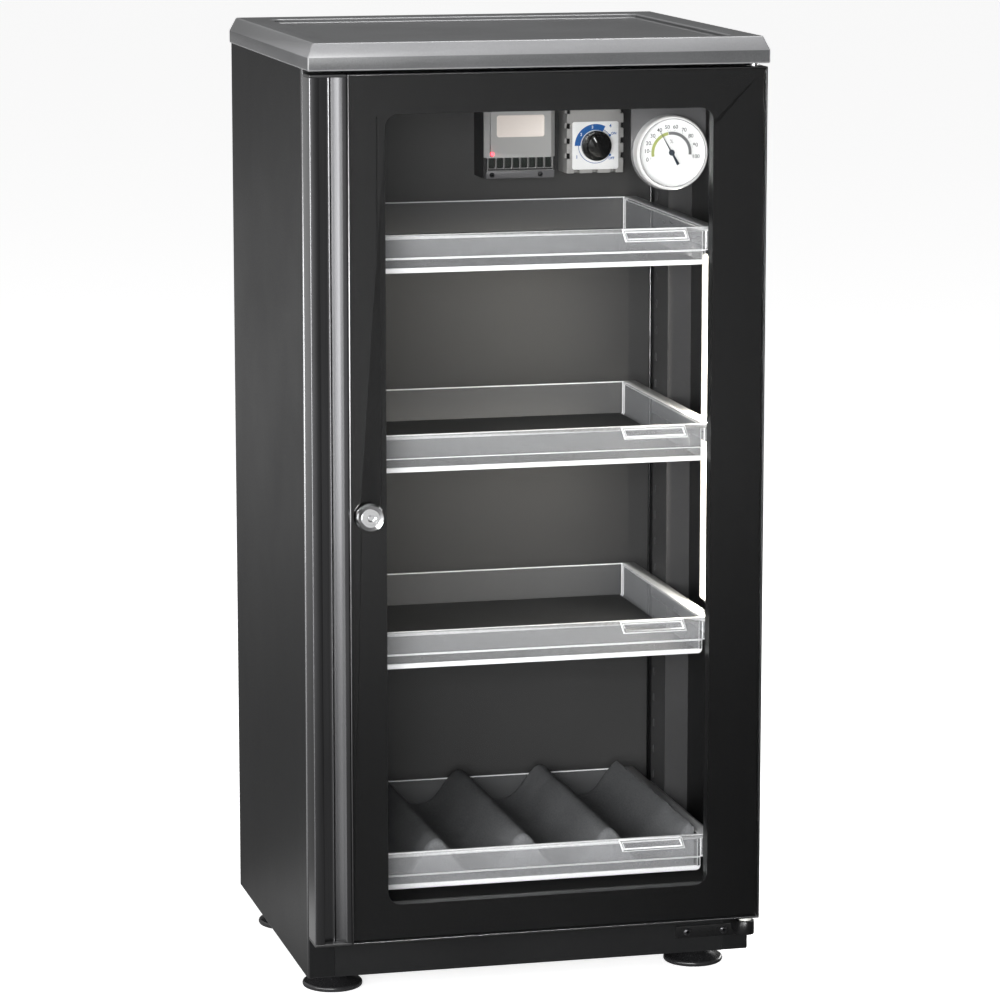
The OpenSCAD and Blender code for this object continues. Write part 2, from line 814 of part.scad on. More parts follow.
module dial_plate() {
  color([0.93, 0.93, 0.92]) difference() {
    along_y(control_front - dial_thickness, control_front)
      rounded([control_x - dial_side / 2, dial_z - dial_side / 2],
              [control_x + dial_side / 2, dial_z + dial_side / 2], dial_round);
    rod_y([control_x, dial_z], shaft_bush, control_front - control_wall, control_front + control_wall);
  }
}

// Fixed body of the humidity control, with a bush that carries the knob's shaft
module thermostat() {
  y0 = control_front + control_wall;
  color([0.55, 0.55, 0.56]) difference() {
    union() {
      rod_y([control_x, dial_z], thermostat_radius, y0, y0 + thermostat_depth);
      rod_y([control_x, dial_z], shaft_bush - overlap, control_front - dial_thickness, y0 + overlap);
    }
    rod_y([control_x, dial_z], shaft_radius + running_gap, control_front - control_wall,
          y0 + thermostat_depth - control_wall);
  }
}

knob_clear = 0.4;
knob_step_share = 0.72;
knob_bar = 2.2;
knob_grip_share = 0.5;
pointer_angle = 120;

module control_knob() {
  y1 = control_front - dial_thickness - knob_clear;
  y0 = y1 - knob_height;
  grip = knob_height * knob_grip_share;
  color([0.06, 0.06, 0.065]) {
    rod_y([control_x, dial_z], knob_radius, y0 + grip, y1);
    rod_y([control_x, dial_z], knob_radius * knob_step_share, y0 + knob_bar, y0 + grip + overlap);
    translate([control_x, 0, dial_z]) rotate([0, -pointer_angle, 0])
      span([-knob_radius * knob_step_share, y0, -knob_bar], [knob_radius * knob_step_share, y0 + grip, knob_bar]);
    rod_y([control_x, dial_z], shaft_radius, y1 - overlap, control_front + thermostat_depth - control_wall);
  }
}

// Humidity dial on a plate that hangs from the ceiling

hygrometer_set = 26;
hygrometer_drop = 80.5;
hygrometer_y = y_body + hygrometer_set;
hygrometer_z = z_top - hygrometer_drop;
bezel = 3;
case_back = 1.5;
bracket_sheet = 1.5;
bracket_foot = 16;
lens_thickness = 1.5;
lens_set = 1.2;
needle_gap = 1.6;
dial_card = 0.8;
needle_thickness = 0.6;
needle_hub = 2.6;
needle_pin = 1;
needle_length = 22;
needle_tail = 12;
needle_width = 1.3;
needle_angle = 120;

module hygrometer_bracket() {
  y0 = hygrometer_y + hygrometer_depth;
  r = hygrometer_radius + bracket_margin;
  color([0.3, 0.3, 0.31]) {
    along_y(y0, y0 + bracket_sheet) {
      translate([hygrometer_x, hygrometer_z]) circle(r);
      translate([hygrometer_x - r, hygrometer_z]) square([2 * r, z_ceiling - hygrometer_z]);
    }
    span([hygrometer_x - r, y0, z_ceiling - bracket_sheet], [hygrometer_x + r, y0 + bracket_foot, z_ceiling]);
  }
}

module at_hygrometer() {
  translate([hygrometer_x, hygrometer_y, hygrometer_z]) rotate([-90, 0, 0]) children();
}

module hygrometer_case() {
  inner = hygrometer_radius - bezel;
  color([0.85, 0.85, 0.84]) at_hygrometer() rotate_extrude() polygon([
    [inner, 0], [hygrometer_radius - bezel / 3, 0], [hygrometer_radius, bezel / 2],
    [hygrometer_radius, hygrometer_depth], [0, hygrometer_depth], [0, hygrometer_depth - case_back],
    [inner, hygrometer_depth - case_back]]);
}

dial_front = lens_set + lens_thickness + needle_gap;

module hygrometer_dial() {
  color([0.95, 0.95, 0.94]) at_hygrometer() rotate_extrude() polygon([
    [needle_pin + running_gap, dial_front], [hygrometer_radius - bezel, dial_front],
    [hygrometer_radius - bezel, hygrometer_depth - case_back], [bezel, hygrometer_depth - case_back],
    [bezel, dial_front + dial_card + bezel], [needle_pin + running_gap, dial_front + dial_card + bezel]]);
}

module hygrometer_glass() {
  color([0.9, 0.95, 1, 0.3]) at_hygrometer() translate([0, 0, lens_set])
    cylinder(h = lens_thickness, r = hygrometer_radius - bezel);
}

module hygrometer_needle() {
  y0 = lens_set + lens_thickness + needle_thickness / 2;
  color([0.1, 0.12, 0.15]) at_hygrometer() {
    translate([0, 0, y0]) cylinder(h = needle_thickness, r = needle_hub);
    translate([0, 0, y0]) cylinder(h = bezel + needle_gap, r = needle_pin);
    translate([0, 0, y0]) rotate([0, 0, -needle_angle]) linear_extrude(needle_thickness)
      polygon([[needle_length, 0], [0, needle_width / 2], [-needle_tail, needle_width],
               [-needle_tail, -needle_width], [0, -needle_width / 2]]);
  }
}

// Hinges, strike and seal

lug_gap = 5.5;
lug_height = 12;
lug_high = door_rise - lug_gap;
lug_low = lug_high - lug_height;
hinge_plate_width = 26;
hinge_strip = 66.5;
strip_drop = 6;
hinge_strip_low = lug_low - strip_drop;
hinge_strip_height = 11;
hinge_strip_thickness = 1.5;
hinge_plate_back = 24;
bush_wall = 2.8;
bush_depth = 18;
lower_pin_root = 8;

module lower_hinge_bracket() {
  z0 = z_body + hinge_strip_low;
  color([0.09, 0.09, 0.095]) difference() {
    union() {
      span([half_body - hinge_strip, y_body - hinge_strip_thickness, z0],
           [half_body - sheet, y_body, z0 + hinge_strip_height]);
      span([pivot[0] - lug_radius, pivot[1], z_body + lug_low], [half_body - sheet / 2, y_body, z_body + lug_high]);
      along_z(z_body + lug_low, z_body + lug_high) translate(pivot) circle(lug_radius);
    }
    along_z(z_body + lug_high - lower_pin_root, z_body + 2 * lug_high) translate(pivot) circle(pin_radius);
  }
}

module upper_hinge_bracket() {
  color([0.5, 0.5, 0.51]) difference() {
    along_z(z_top, z_top + hinge_plate) {
      translate(pivot) circle(lug_radius - 2 * sheet);
      translate([pivot[0] - hinge_plate_width + overlap, pivot[1]])
        square([hinge_plate_width + lug_radius - 2 * sheet - overlap, y_body + hinge_plate_back - pivot[1]]);
    }
    along_z(z_top - sheet, z_top + 2 * hinge_plate) translate(pivot) circle(pin_radius);
  }
}

module hinge_pins() {
  color([0.75, 0.75, 0.76]) {
    along_z(z_body + lug_high - lower_pin_root, z_door + bush_depth - sheet) translate(pivot) circle(pin_radius);
    along_z(z_door_top - bush_depth + sheet, z_top + hinge_plate) translate(pivot) circle(pin_radius);
  }
}

strip_screw_inset = 10.5;
strip_screw_side = 22.5;
sill_screw_shares = [-0.4, 0.28];

module bracket_screws() {
  z = z_body + hinge_strip_low + hinge_strip_height / 2;
  color([0.35, 0.35, 0.36]) {
    for (x = [half_body - hinge_strip + strip_screw_inset, half_body - strip_screw_side])
      front_screw(x, y_body - hinge_strip_thickness, z, screw_radius);
    for (share = sill_screw_shares)
      front_screw(drier_x + share * drier_width, drier_front + lamp_proud / 2, drier_low + sill_height / 2, small_screw_radius);
  }
}

strike_reach = 6;
strike_thickness = 1.5;
strike_half = 22;

module strike_plate() {
  color([0.7, 0.7, 0.71])
    span([sheet - x_wall, y_body + sheet, lock[1] - strike_half],
         [strike_reach - x_opening, y_body + sheet + strike_thickness, lock[1] + strike_half]);
}

seal_width = 7.4;
seal_edge = 0.4;
seal_gap = 0.3;

// Soft seal round the front opening; the closed door rests against it
module door_seal() {
  x1 = x_opening + seal_edge + seal_width;
  z0 = z_kick - seal_edge - seal_width;
  z1 = z_header + seal_edge + seal_width;
  color([0.06, 0.06, 0.065]) difference() {
    span([-x1, y_door_back + seal_gap, z0], [x1, y_body, z1]);
    span([seal_width - x1, y_door_back, z0 + seal_width], [x1 - seal_width, y_body + sheet, z1 - seal_width]);
  }
}

// Door

scoop_offset = grip_width / 2 - scoop_shift;
grip_scoop = scoop_offset - scoop_wall;

module grip_section() {
  centre = [scoop_offset - half_body, y_door + grip_scoop_depth];
  difference() {
    rounded([-half_body, y_door], [x_grip, y_door_back], sheet);
    intersection() {
      translate(centre) circle(grip_scoop);
      union() {
        translate([grip_lip - half_body, y_door - grip_scoop]) square([grip_width, 3 * grip_scoop]);
        translate([-half_body, y_door + grip_lip_thickness]) square([grip_width, 3 * grip_scoop]);
      }
    }
    translate([x_grip - 2 * door_wall, y_door - sheet]) square([sheet, 2 * sheet]);
  }
}

module door_handle() {
  color([0.2, 0.2, 0.205]) along_z(z_door + cap_height, z_door_top - cap_height) grip_section();
}

module handle_end_caps() {
  color([0.15, 0.15, 0.155])
    for (z = [z_door, z_door_top - cap_height])
      along_z(z, z + cap_height) rounded([-half_body, y_door], [x_grip, y_door_back], sheet);
}

module lock_hole(r) {
  rod_y(lock, r, y_door - lock_proud, y_body);
}

module pin_hole(r) {
  along_z(z_door - sheet, z_door_top + sheet) translate(pivot) circle(r);
}

module door_frame() {
  color([0.15, 0.15, 0.155]) difference() {
    along_z(z_door, z_door_top) rounded([x_grip, y_door], [half_body, pan_front], sheet);
    span([x_grip + door_wall, y_door - sheet, z_door + door_wall],
         [half_body - door_wall, border_back, z_door_top - door_wall]);
    difference() {
      span([x_grip + door_wall, frame_back, z_door + door_wall],
           [half_body - door_wall, y_door_back, z_door_top - door_wall]);
      span([frame_x[0] - frame_sheet, y_door, frame_z[0] - frame_sheet],
           [frame_x[1] + frame_sheet, y_door_back, frame_z[1] + frame_sheet]);
    }
    span([frame_x[0], y_door, frame_z[0]], [frame_x[1], y_door_back, frame_z[1]]);
    lock_hole(barrel_radius + barrel_gap);
    pin_hole(pin_radius + bush_wall);
  }
}

module door_inner_pan() {
  color([0.13, 0.13, 0.135]) difference() {
    span([x_grip, pan_front, z_door], [half_body, y_door_back, z_door_top]);
    span([frame_x[0], y_door, frame_z[0]], [frame_x[1], y_body, frame_z[1]]);
    lock_hole(barrel_radius + barrel_gap);
  }
}

module door_glass() {
  color([0.8, 0.85, 0.87, 0.25]) difference() {
    span([x_grip + door_wall, glass_front, z_door + door_wall],
         [half_body - door_wall, glass_back, z_door_top - door_wall]);
    lock_hole(barrel_radius + barrel_gap);
  }
}

module glass_border() {
  color([0.03, 0.03, 0.035]) difference() {
    along_y(glass_back, border_back) difference() {
      translate([x_grip + door_wall, z_door + door_wall])
        square([half_body - x_grip - 2 * door_wall, z_door_top - z_door - 2 * door_wall]);
      rounded([window_x[0], window_z[0]], [window_x[1], window_z[1]], window_radius);
    }
    lock_hole(barrel_radius + barrel_gap);
  }
}

// Bushes let into the door's lower and upper edge; the lower one has a collar on the lug
module hinge_bushes() {
  collar = z_body + lug_high + seal_gap;
  color([0.85, 0.85, 0.83]) difference() {
    union() {
      along_z(z_door - overlap, z_door + bush_depth) translate(pivot) circle(pin_radius + bush_wall - overlap);
      along_z(z_door_top - bush_depth, z_door_top) translate(pivot) circle(pin_radius + bush_wall - overlap);
      along_z(collar, z_door) translate(pivot) circle(lug_radius - 2 * sheet);
    }
    pin_hole(pin_radius + running_gap);
    along_z(collar - sheet, z_door + sheet) translate(pivot) circle(pin_radius + running_gap);
  }
}

// Lock: barrel, turning plug and cam

lock_cone = 1.5;
lock_face = lock_proud + glass_set;
lock_inner_ring = 8.2;
barrel_tail = 8.5;
plug_tail = 3.2;
cam_thickness = 2;
cam_half_width = 6;
keyway_radius = 3.1;
keyway_core = 1.9;
keyway_depth = 5;
keyway_notch = 0.8;

module lock_barrel() {
  color([0.82, 0.82, 0.83]) difference() {
    union() {
      translate([lock[0], glass_front, lock[1]]) rotate([90, 0, 0]) rotate_extrude() polygon([
        [0, 0], [lock_radius, 0], [lock_radius, lock_cone], [lock_radius - lock_cone, lock_face],
        [lock_inner_ring, lock_face - lock_cone / 2], [lock_inner_ring - lock_cone / 3, lock_face],
        [0, lock_face]]);
      rod_y(lock, barrel_radius, glass_front - overlap, y_door_back + barrel_tail);
    }
    rod_y(lock, plug_radius + running_gap, y_door - 2 * lock_proud, y_door_back + 2 * barrel_tail);
  }
}

module lock_plug() {
  y0 = y_door - lock_proud + glass_set;
  color([0.7, 0.7, 0.71]) difference() {
    rod_y(lock, plug_radius, y0, y_door_back + barrel_tail + plug_tail);
    difference() {
      rod_y(lock, keyway_radius, y0 - sheet, y0 + keyway_depth);
      rod_y(lock, keyway_core, y0 - sheet, y0 + keyway_depth);
    }
    translate([lock[0] + keyway_radius - overlap, y0 - sheet, lock[1] - keyway_notch])
      cube([2 * keyway_notch, keyway_depth, 2 * keyway_notch]);
  }
}

module lock_cam() {
  y0 = y_door_back + barrel_tail + plug_tail - overlap;
  color([0.6, 0.6, 0.61]) along_y(y0, y0 + cam_thickness) {
    translate(lock) circle(cam_half_width);
    translate([lock[0] - cam_half_width, lock[1] - cam_reach]) square([2 * cam_half_width, cam_reach]);
  }
}

left_side_panel();
right_side_panel();
back_panel();
ceiling_panel();
floor_panel();
base_plate();
kick_panel();
header_panel();
top_lid();
feet();
front_left_upright();
front_right_upright();
rear_left_upright();
rear_right_upright();
left_tray_rails();
right_tray_rails();
light_housing();
light_diffuser();
drier_base();
drier_cover();
drier_grille();
drier_sill();
indicator_lamp();
desiccant_cartridge();
drier_circuit_board();
rear_vent_cover();
cord_gland();
control_box();
dial_plate();
thermostat();
hygrometer_bracket();
hygrometer_case();
hygrometer_dial();
hygrometer_glass();
lower_hinge_bracket();
upper_hinge_bracket();
hinge_pins();
bracket_screws();
strike_plate();
door_seal();
door_frame();
door_inner_pan();
door_glass();
glass_border();
door_handle();
handle_end_caps();
hinge_bushes();
lock_barrel();
lock_plug();
lock_cam();
control_knob();
hygrometer_needle();
tray_1();
tray_2();
tray_3();
tray_4();
tray_1_mat();
tray_2_mat();
tray_3_mat();
lens_cradle();
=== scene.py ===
# Camera dry cabinet: finishes, printed scales, foam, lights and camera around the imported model
import json
import math
import bpy
import bmesh
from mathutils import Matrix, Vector, noise

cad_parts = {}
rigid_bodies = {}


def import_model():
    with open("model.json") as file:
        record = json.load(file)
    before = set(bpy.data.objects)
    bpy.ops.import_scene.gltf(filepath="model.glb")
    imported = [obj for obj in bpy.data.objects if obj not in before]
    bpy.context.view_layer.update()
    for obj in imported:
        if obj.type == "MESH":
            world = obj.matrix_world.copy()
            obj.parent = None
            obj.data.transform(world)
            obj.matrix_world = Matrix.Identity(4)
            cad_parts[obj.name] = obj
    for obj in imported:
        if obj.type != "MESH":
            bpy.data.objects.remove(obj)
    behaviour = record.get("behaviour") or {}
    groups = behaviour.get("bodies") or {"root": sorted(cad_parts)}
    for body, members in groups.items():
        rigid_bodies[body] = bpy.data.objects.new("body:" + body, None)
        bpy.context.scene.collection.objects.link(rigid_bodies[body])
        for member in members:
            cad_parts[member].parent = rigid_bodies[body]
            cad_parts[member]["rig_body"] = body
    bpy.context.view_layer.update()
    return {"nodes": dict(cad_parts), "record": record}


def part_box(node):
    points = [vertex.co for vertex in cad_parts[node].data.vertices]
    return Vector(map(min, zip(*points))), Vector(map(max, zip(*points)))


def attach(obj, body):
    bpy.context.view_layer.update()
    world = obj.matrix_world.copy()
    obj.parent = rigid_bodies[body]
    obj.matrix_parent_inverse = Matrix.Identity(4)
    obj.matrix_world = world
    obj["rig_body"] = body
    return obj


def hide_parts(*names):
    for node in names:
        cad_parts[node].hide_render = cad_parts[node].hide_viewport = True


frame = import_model()
slotOfNode = {row["node"]: row["material_slot"] for row in frame["record"]["subparts"]}
print("frame loaded:", len(frame["nodes"]), "nodes")


# Camera

cameraView = {
    "place": (-0.8936, -3.6504, 1.0759),
    "yaw": 13.921,  # degrees to the right of straight ahead
    "pitch": 10.047,  # degrees down
    "lens": 153.19,
    "sensor": 36,
    "reach": 60,  # metres to the far clip
}


def placeCamera(view):
    data = bpy.data.cameras.new("camera")
    data.lens = view["lens"]
    data.sensor_width = view["sensor"]
    data.clip_end = view["reach"]
    camera = bpy.data.objects.new("camera", data)
    camera.location = view["place"]
    camera.rotation_euler = (math.radians(90 - view["pitch"]), 0, -math.radians(view["yaw"]))
    bpy.context.scene.collection.objects.link(camera)
    bpy.context.scene.camera = camera


placeCamera(cameraView)
print("camera placed")


# Node helpers: an input is either a value or the output that feeds it


def addNode(tree, kind, inputs=None, **settings):
    node = tree.nodes.new(kind)
    for key, value in settings.items():
        setattr(node, key, value)
    for key, value in (inputs or {}).items():
        setInput(tree, node, key, value)
    return node


def setInput(tree, node, key, value):
    if isinstance(value, bpy.types.NodeSocket):
        tree.links.new(value, node.inputs[key])
    else:
        node.inputs[key].default_value = value


def calculate(tree, operation, first, second, **settings):
    return addNode(tree, "ShaderNodeMath", {0: first, 1: second}, operation=operation, **settings).outputs[0]


def rescale(tree, value, start, end, **settings):
    return addNode(tree, "ShaderNodeMapRange", {
        "Value": value, "From Min": start[0], "From Max": start[1], "To Min": end[0], "To Max": end[1]},
        **settings).outputs["Result"]


def blendValues(tree, factor, first, second):
    return addNode(tree, "ShaderNodeMix", {"Factor": factor, "A": first, "B": second},
                   data_type="FLOAT").outputs["Result"]


def newMaterial(name):
    material = bpy.data.materials.new(name)
    material.use_nodes = True
    tree = material.node_tree
    place = addNode(tree, "ShaderNodeTexCoord").outputs["Object"]
    return material, tree, tree.nodes["Principled BSDF"], place


# Every finish: colour, how far it wanders, gloss, and the size and depth of its grain in metres
finishes = {
    "bodyCoat": {"color": (0.0075, 0.0077, 0.008), "wander": 0.18, "rough": 0.42, "roughWander": 0.06,
                 "shine": 0.18, "grain": 0.0014, "depth": 0.00004},
    "innerCoat": {"color": (0.035, 0.035, 0.035), "wander": 0.15, "rough": 0.5, "roughWander": 0.08,
                  "shine": 0.4, "grain": 0.0016, "depth": 0.00005},
    "doorCoat": {"color": (0.0065, 0.0066, 0.0068), "wander": 0.18, "rough": 0.38, "roughWander": 0.06,
                 "shine": 0.28, "grain": 0.0014, "depth": 0.00003},
    "lidGrain": {"color": (0.068, 0.069, 0.071), "wander": 0.28, "rough": 0.42, "roughWander": 0.08,
                 "shine": 0.5, "grain": 0.0011, "depth": 0.00022},
    # Partly a smooth band, partly painted highlight: lighter than the grained lid, on its upward chamfer and bevelled
    # edges
    "lidSmoothWithPaintedHighlight": {"color": (0.17, 0.171, 0.175), "wander": 0.1, "rough": 0.34, "roughWander": 0.05,
                  "grain": 0.0012, "depth": 0.00004},
    "footGloss": {"color": (0.016, 0.016, 0.017), "wander": 0.1, "rough": 0.26, "roughWander": 0.04,
                  "grain": 0.003, "depth": 0.00003},
    "uprightCoat": {"color": (0.04, 0.04, 0.041), "wander": 0.15, "rough": 0.42, "roughWander": 0.06,
                    "shine": 0.4, "grain": 0.0014, "depth": 0.00004},
    "railZinc": {"color": (0.5, 0.51, 0.53), "wander": 0.16, "rough": 0.34, "roughWander": 0.12,
                 "metal": 1.0, "grain": 0.003, "depth": 0.00003, "stretch": (1, 0.08, 1)},
    "gripAnodised": {"color": (0.1, 0.1, 0.103), "wander": 0.06, "rough": 0.24, "roughWander": 0.03,
                     "metal": 1.0, "grain": 0.0012, "depth": 0.00001, "stretch": (1, 1, 0.02)},
    # Painted highlight: a light metallic finish on the bevels and corner bends of black-coated pieces
    "paintedEdgeHighlight": {"color": (0.15, 0.15, 0.153), "wander": 0.15, "rough": 0.24, "roughWander": 0.05,
                 "metal": 1.0, "grain": 0.0014, "depth": 0.00001},
    "capPlastic": {"color": (0.015, 0.015, 0.0155), "wander": 0.1, "rough": 0.36, "roughWander": 0.05,
                   "grain": 0.001, "depth": 0.00003},
    "borderPrint": {"color": (0.003, 0.003, 0.0031), "wander": 0.1, "rough": 0.07, "roughWander": 0.02,
                    "grain": 0.05, "depth": 0.000002},
    "sealRubber": {"color": (0.01, 0.01, 0.0105), "wander": 0.2, "rough": 0.7, "roughWander": 0.1,
                   "shine": 0.3, "grain": 0.0012, "depth": 0.00008},
    "drierGrey": {"color": (0.4, 0.4, 0.395), "wander": 0.05, "rough": 0.48, "roughWander": 0.06,
                  "grain": 0.0008, "depth": 0.00005},
    # Black of the drier base and vent cover, also used as painted shade on the grille's flat faces
    "drierBlackAndGrilleShade": {"color": (0.014, 0.014, 0.0145), "wander": 0.15, "rough": 0.5, "roughWander": 0.08,
                   "shine": 0.35, "grain": 0.001, "depth": 0.00006},
    "sillCoat": {"color": (0.11, 0.11, 0.114), "wander": 0.1, "rough": 0.36, "roughWander": 0.06,
                 "grain": 0.001, "depth": 0.00003},
    "controlGrey": {"color": (0.33, 0.327, 0.318), "wander": 0.12, "rough": 0.5, "roughWander": 0.08,
                    "grain": 0.0009, "depth": 0.00008},
    "plateWhite": {"color": (0.86, 0.87, 0.87), "wander": 0.02, "rough": 0.35, "roughWander": 0.04,
                   "grain": 0.003, "depth": 0.00001},
    "plateCream": {"color": (0.93, 0.85, 0.79), "wander": 0.03, "rough": 0.45, "roughWander": 0.05,
                   "grain": 0.0012, "depth": 0.00002},
    "cardWhite": {"color": (0.71, 0.72, 0.71), "wander": 0.02, "rough": 0.5, "roughWander": 0.05,
                  "grain": 0.001, "depth": 0.00002},
    "bezelSilver": {"color": (0.88, 0.88, 0.87), "wander": 0.04, "rough": 0.2, "roughWander": 0.04,
                    "metal": 0.4, "grain": 0.002, "depth": 0.00001},
    "bracketCoat": {"color": (0.07, 0.07, 0.072), "wander": 0.12, "rough": 0.42, "roughWander": 0.06,
                    "grain": 0.0013, "depth": 0.00003},
    "lockChrome": {"color": (0.8, 0.8, 0.81), "wander": 0.03, "rough": 0.12, "roughWander": 0.04,
                   "metal": 1.0, "grain": 0.0015, "depth": 0.000005},
    "plainSteel": {"color": (0.5, 0.5, 0.51), "wander": 0.15, "rough": 0.35, "roughWander": 0.1,
                   "metal": 1.0, "grain": 0.002, "depth": 0.00002},
    "screwZinc": {"color": (0.1, 0.1, 0.105), "wander": 0.2, "rough": 0.3, "roughWander": 0.1,
                  "metal": 0.8, "grain": 0.0008, "depth": 0.00001},
    "hingeCoat": {"color": (0.005, 0.005, 0.0052), "wander": 0.2, "rough": 0.3, "roughWander": 0.08,
                  "shine": 0.35, "grain": 0.001, "depth": 0.00003},
    "knobPlastic": {"color": (0.004, 0.004, 0.0042), "wander": 0.15, "rough": 0.26, "roughWander": 0.06,
                    "shine": 0.4, "grain": 0.0008, "depth": 0.00003},
    "needleLacquer": {"color": (0.02, 0.028, 0.04), "wander": 0.1, "rough": 0.3, "roughWander": 0.05,
                      "grain": 0.002, "depth": 0.00001},
    "matFoam": {"color": (0.03, 0.031, 0.033), "wander": 0.5, "rough": 0.85, "roughWander": 0.1,
                "shine": 0.3, "grain": 0.0016, "depth": 0.0005},
    "cradleFoam": {"color": (0.115, 0.118, 0.122), "wander": 0.35, "rough": 0.88, "roughWander": 0.08,
                   "shine": 0.3, "grain": 0.0018, "depth": 0.0006},
    "bushNylon": {"color": (0.7, 0.7, 0.66), "wander": 0.04, "rough": 0.45, "roughWander": 0.05,
                  "grain": 0.001, "depth": 0.00003},
    # Partly the board's own green, partly painted shade: darkened so that the grille's openings read black
    "boardGreenPaintedShade": {"color": (0.0025, 0.007, 0.004), "wander": 0.15, "rough": 0.35, "roughWander": 0.1,
                   "grain": 0.002, "depth": 0.00004},
    "lightAluminium": {"color": (0.7, 0.7, 0.7), "wander": 0.08, "rough": 0.35, "roughWander": 0.08,
                       "metal": 1.0, "grain": 0.0015, "depth": 0.00001, "stretch": (1, 1, 0.05)},
    "inkBlue": {"color": (0.002, 0.1, 0.36), "wander": 0.06, "rough": 0.4, "roughWander": 0.05,
                "grain": 0.0008, "depth": 0.00001},
    "inkDark": {"color": (0.035, 0.037, 0.04), "wander": 0.1, "rough": 0.45, "roughWander": 0.05,
                "grain": 0.0008, "depth": 0.00001},
    "inkGrey": {"color": (0.12, 0.122, 0.125), "wander": 0.1, "rough": 0.45, "roughWander": 0.05,
                "grain": 0.0008, "depth": 0.00001},
    "inkGreen": {"color": (0.29, 0.33, 0.09), "wander": 0.1, "rough": 0.45, "roughWander": 0.05,
                 "grain": 0.0008, "depth": 0.00001},
    "inkWhite": {"color": (0.85, 0.86, 0.87), "wander": 0.04, "rough": 0.4, "roughWander": 0.05,
                 "grain": 0.0008, "depth": 0.00001},
}
cloudSize = 0.09  # metres across a patch of slightly different tone
grainShare = 0.6  # of the tone, the rest is the clouds
noiseSpan = (0.3, 0.7)  # where most of a noise lies
leastRough = 0.02
madeFinishes = {}


def makeFinish(name):
    if name in madeFinishes:
        return madeFinishes[name]
    look = finishes[name]
    material, tree, shader, place = newMaterial(name)
    shader.inputs["Metallic"].default_value = look.get("metal", 0)
    shader.inputs["Specular IOR Level"].default_value = look.get("shine", 0.5)
    stretched = addNode(tree, "ShaderNodeMapping", {"Vector": place, "Scale": look.get("stretch", (1, 1, 1))})
    cloud = addNode(tree, "ShaderNodeTexNoise", {"Vector": place, "Scale": 1 / cloudSize, "Detail": 3})
    grain = addNode(tree, "ShaderNodeTexNoise", {
        "Vector": stretched.outputs["Vector"], "Scale": 1 / look["grain"], "Detail": 4, "Roughness": 0.6})
    tone = blendValues(tree, grainShare, cloud.outputs["Fac"], grain.outputs["Fac"])
    ramp = addNode(tree, "ShaderNodeValToRGB", {"Fac": tone})
    for stop, position, change in zip(ramp.color_ramp.elements, noiseSpan, (-look["wander"], look["wander"])):
        stop.position = position
        stop.color = (*[min(1, part * (1 + change)) for part in look["color"]], 1)
    rough, change = look["rough"], look["roughWander"]
    gloss = rescale(tree, tone, noiseSpan, (max(leastRough, rough - change), rough + change))
    bump = addNode(tree, "ShaderNodeBump", {
        "Strength": 1.0, "Distance": look["depth"], "Height": grain.outputs["Fac"]})
    setInput(tree, shader, "Base Color", ramp.outputs["Color"])
    setInput(tree, shader, "Roughness", gloss)
    setInput(tree, shader, "Normal", bump.outputs["Normal"])
    madeFinishes[name] = material
    return material


# Clear pieces: a thin skin whose cover grows towards a grazing view
clearFinishes = {
    "doorGlass": {"color": (0.93, 0.97, 0.96), "metal": 1.0, "rough": 0.015, "facing": 0.003, "grazing": 0.8,
                  "streaks": 0.002},
    "dialGlass": {"color": (0.95, 0.97, 0.98), "metal": 1.0, "rough": 0.02, "facing": 0.02, "grazing": 0.7,
                  "streaks": 0.004},
    "trayClear": {"color": (0.75, 0.77, 0.8), "metal": 0.0, "rough": 0.12, "facing": 0.035, "grazing": 0.6,
                  "streaks": 0.03},
    "trayFront": {"color": (0.7, 0.71, 0.73), "metal": 0.0, "rough": 0.3, "facing": 0.15, "grazing": 0.8,
                  "streaks": 0.1},
    # Painted highlight: a whiter, less clear band along the front rim
    "trayRimPaintedHighlight": {"color": (0.9, 0.91, 0.92), "metal": 0.0, "rough": 0.2, "facing": 0.34, "grazing": 0.9,
                "streaks": 0.12},
    "traySkirt": {"color": (0.5, 0.51, 0.52), "metal": 0.0, "rough": 0.45, "facing": 0.08, "grazing": 0.85,
                  "streaks": 0.4},
    # Painted highlight: near-opaque white on the top edges and the foot band
    "trayEdgePaintedHighlight": {"color": (0.96, 0.97, 0.98), "metal": 0.0, "rough": 0.12, "facing": 0.85, "grazing": 0.98,
                 "streaks": 0.1},
}
clearDetail = {"speckle": 900, "power": 3, "bump": 0.4, "depth": 0.0003}


def makeClear(name):
    if name in madeFinishes:
        return madeFinishes[name]
    look = clearFinishes[name]
    material, tree, shader, place = newMaterial(name)
    shader.inputs["Base Color"].default_value = (*look["color"], 1)
    shader.inputs["Metallic"].default_value = look["metal"]
    shader.inputs["Roughness"].default_value = look["rough"]
    speckle = addNode(tree, "ShaderNodeTexNoise", {"Vector": place, "Scale": clearDetail["speckle"], "Detail": 3})
    facing = addNode(tree, "ShaderNodeLayerWeight", {"Blend": 0.5}).outputs["Facing"]
    curve = calculate(tree, "POWER", facing, clearDetail["power"])
    cover = rescale(tree, curve, (0, 1), (look["facing"], look["grazing"]))
    half = look["streaks"] / 2
    spread = rescale(tree, speckle.outputs["Fac"], noiseSpan, (-half, half))
    setInput(tree, shader, "Alpha", calculate(tree, "ADD", cover, spread, use_clamp=True))
    bump = addNode(tree, "ShaderNodeBump", {
        "Strength": clearDetail["bump"], "Distance": look["streaks"] * clearDetail["depth"],
        "Height": speckle.outputs["Fac"]})
    setInput(tree, shader, "Normal", bump.outputs["Normal"])
    madeFinishes[name] = material
    return material


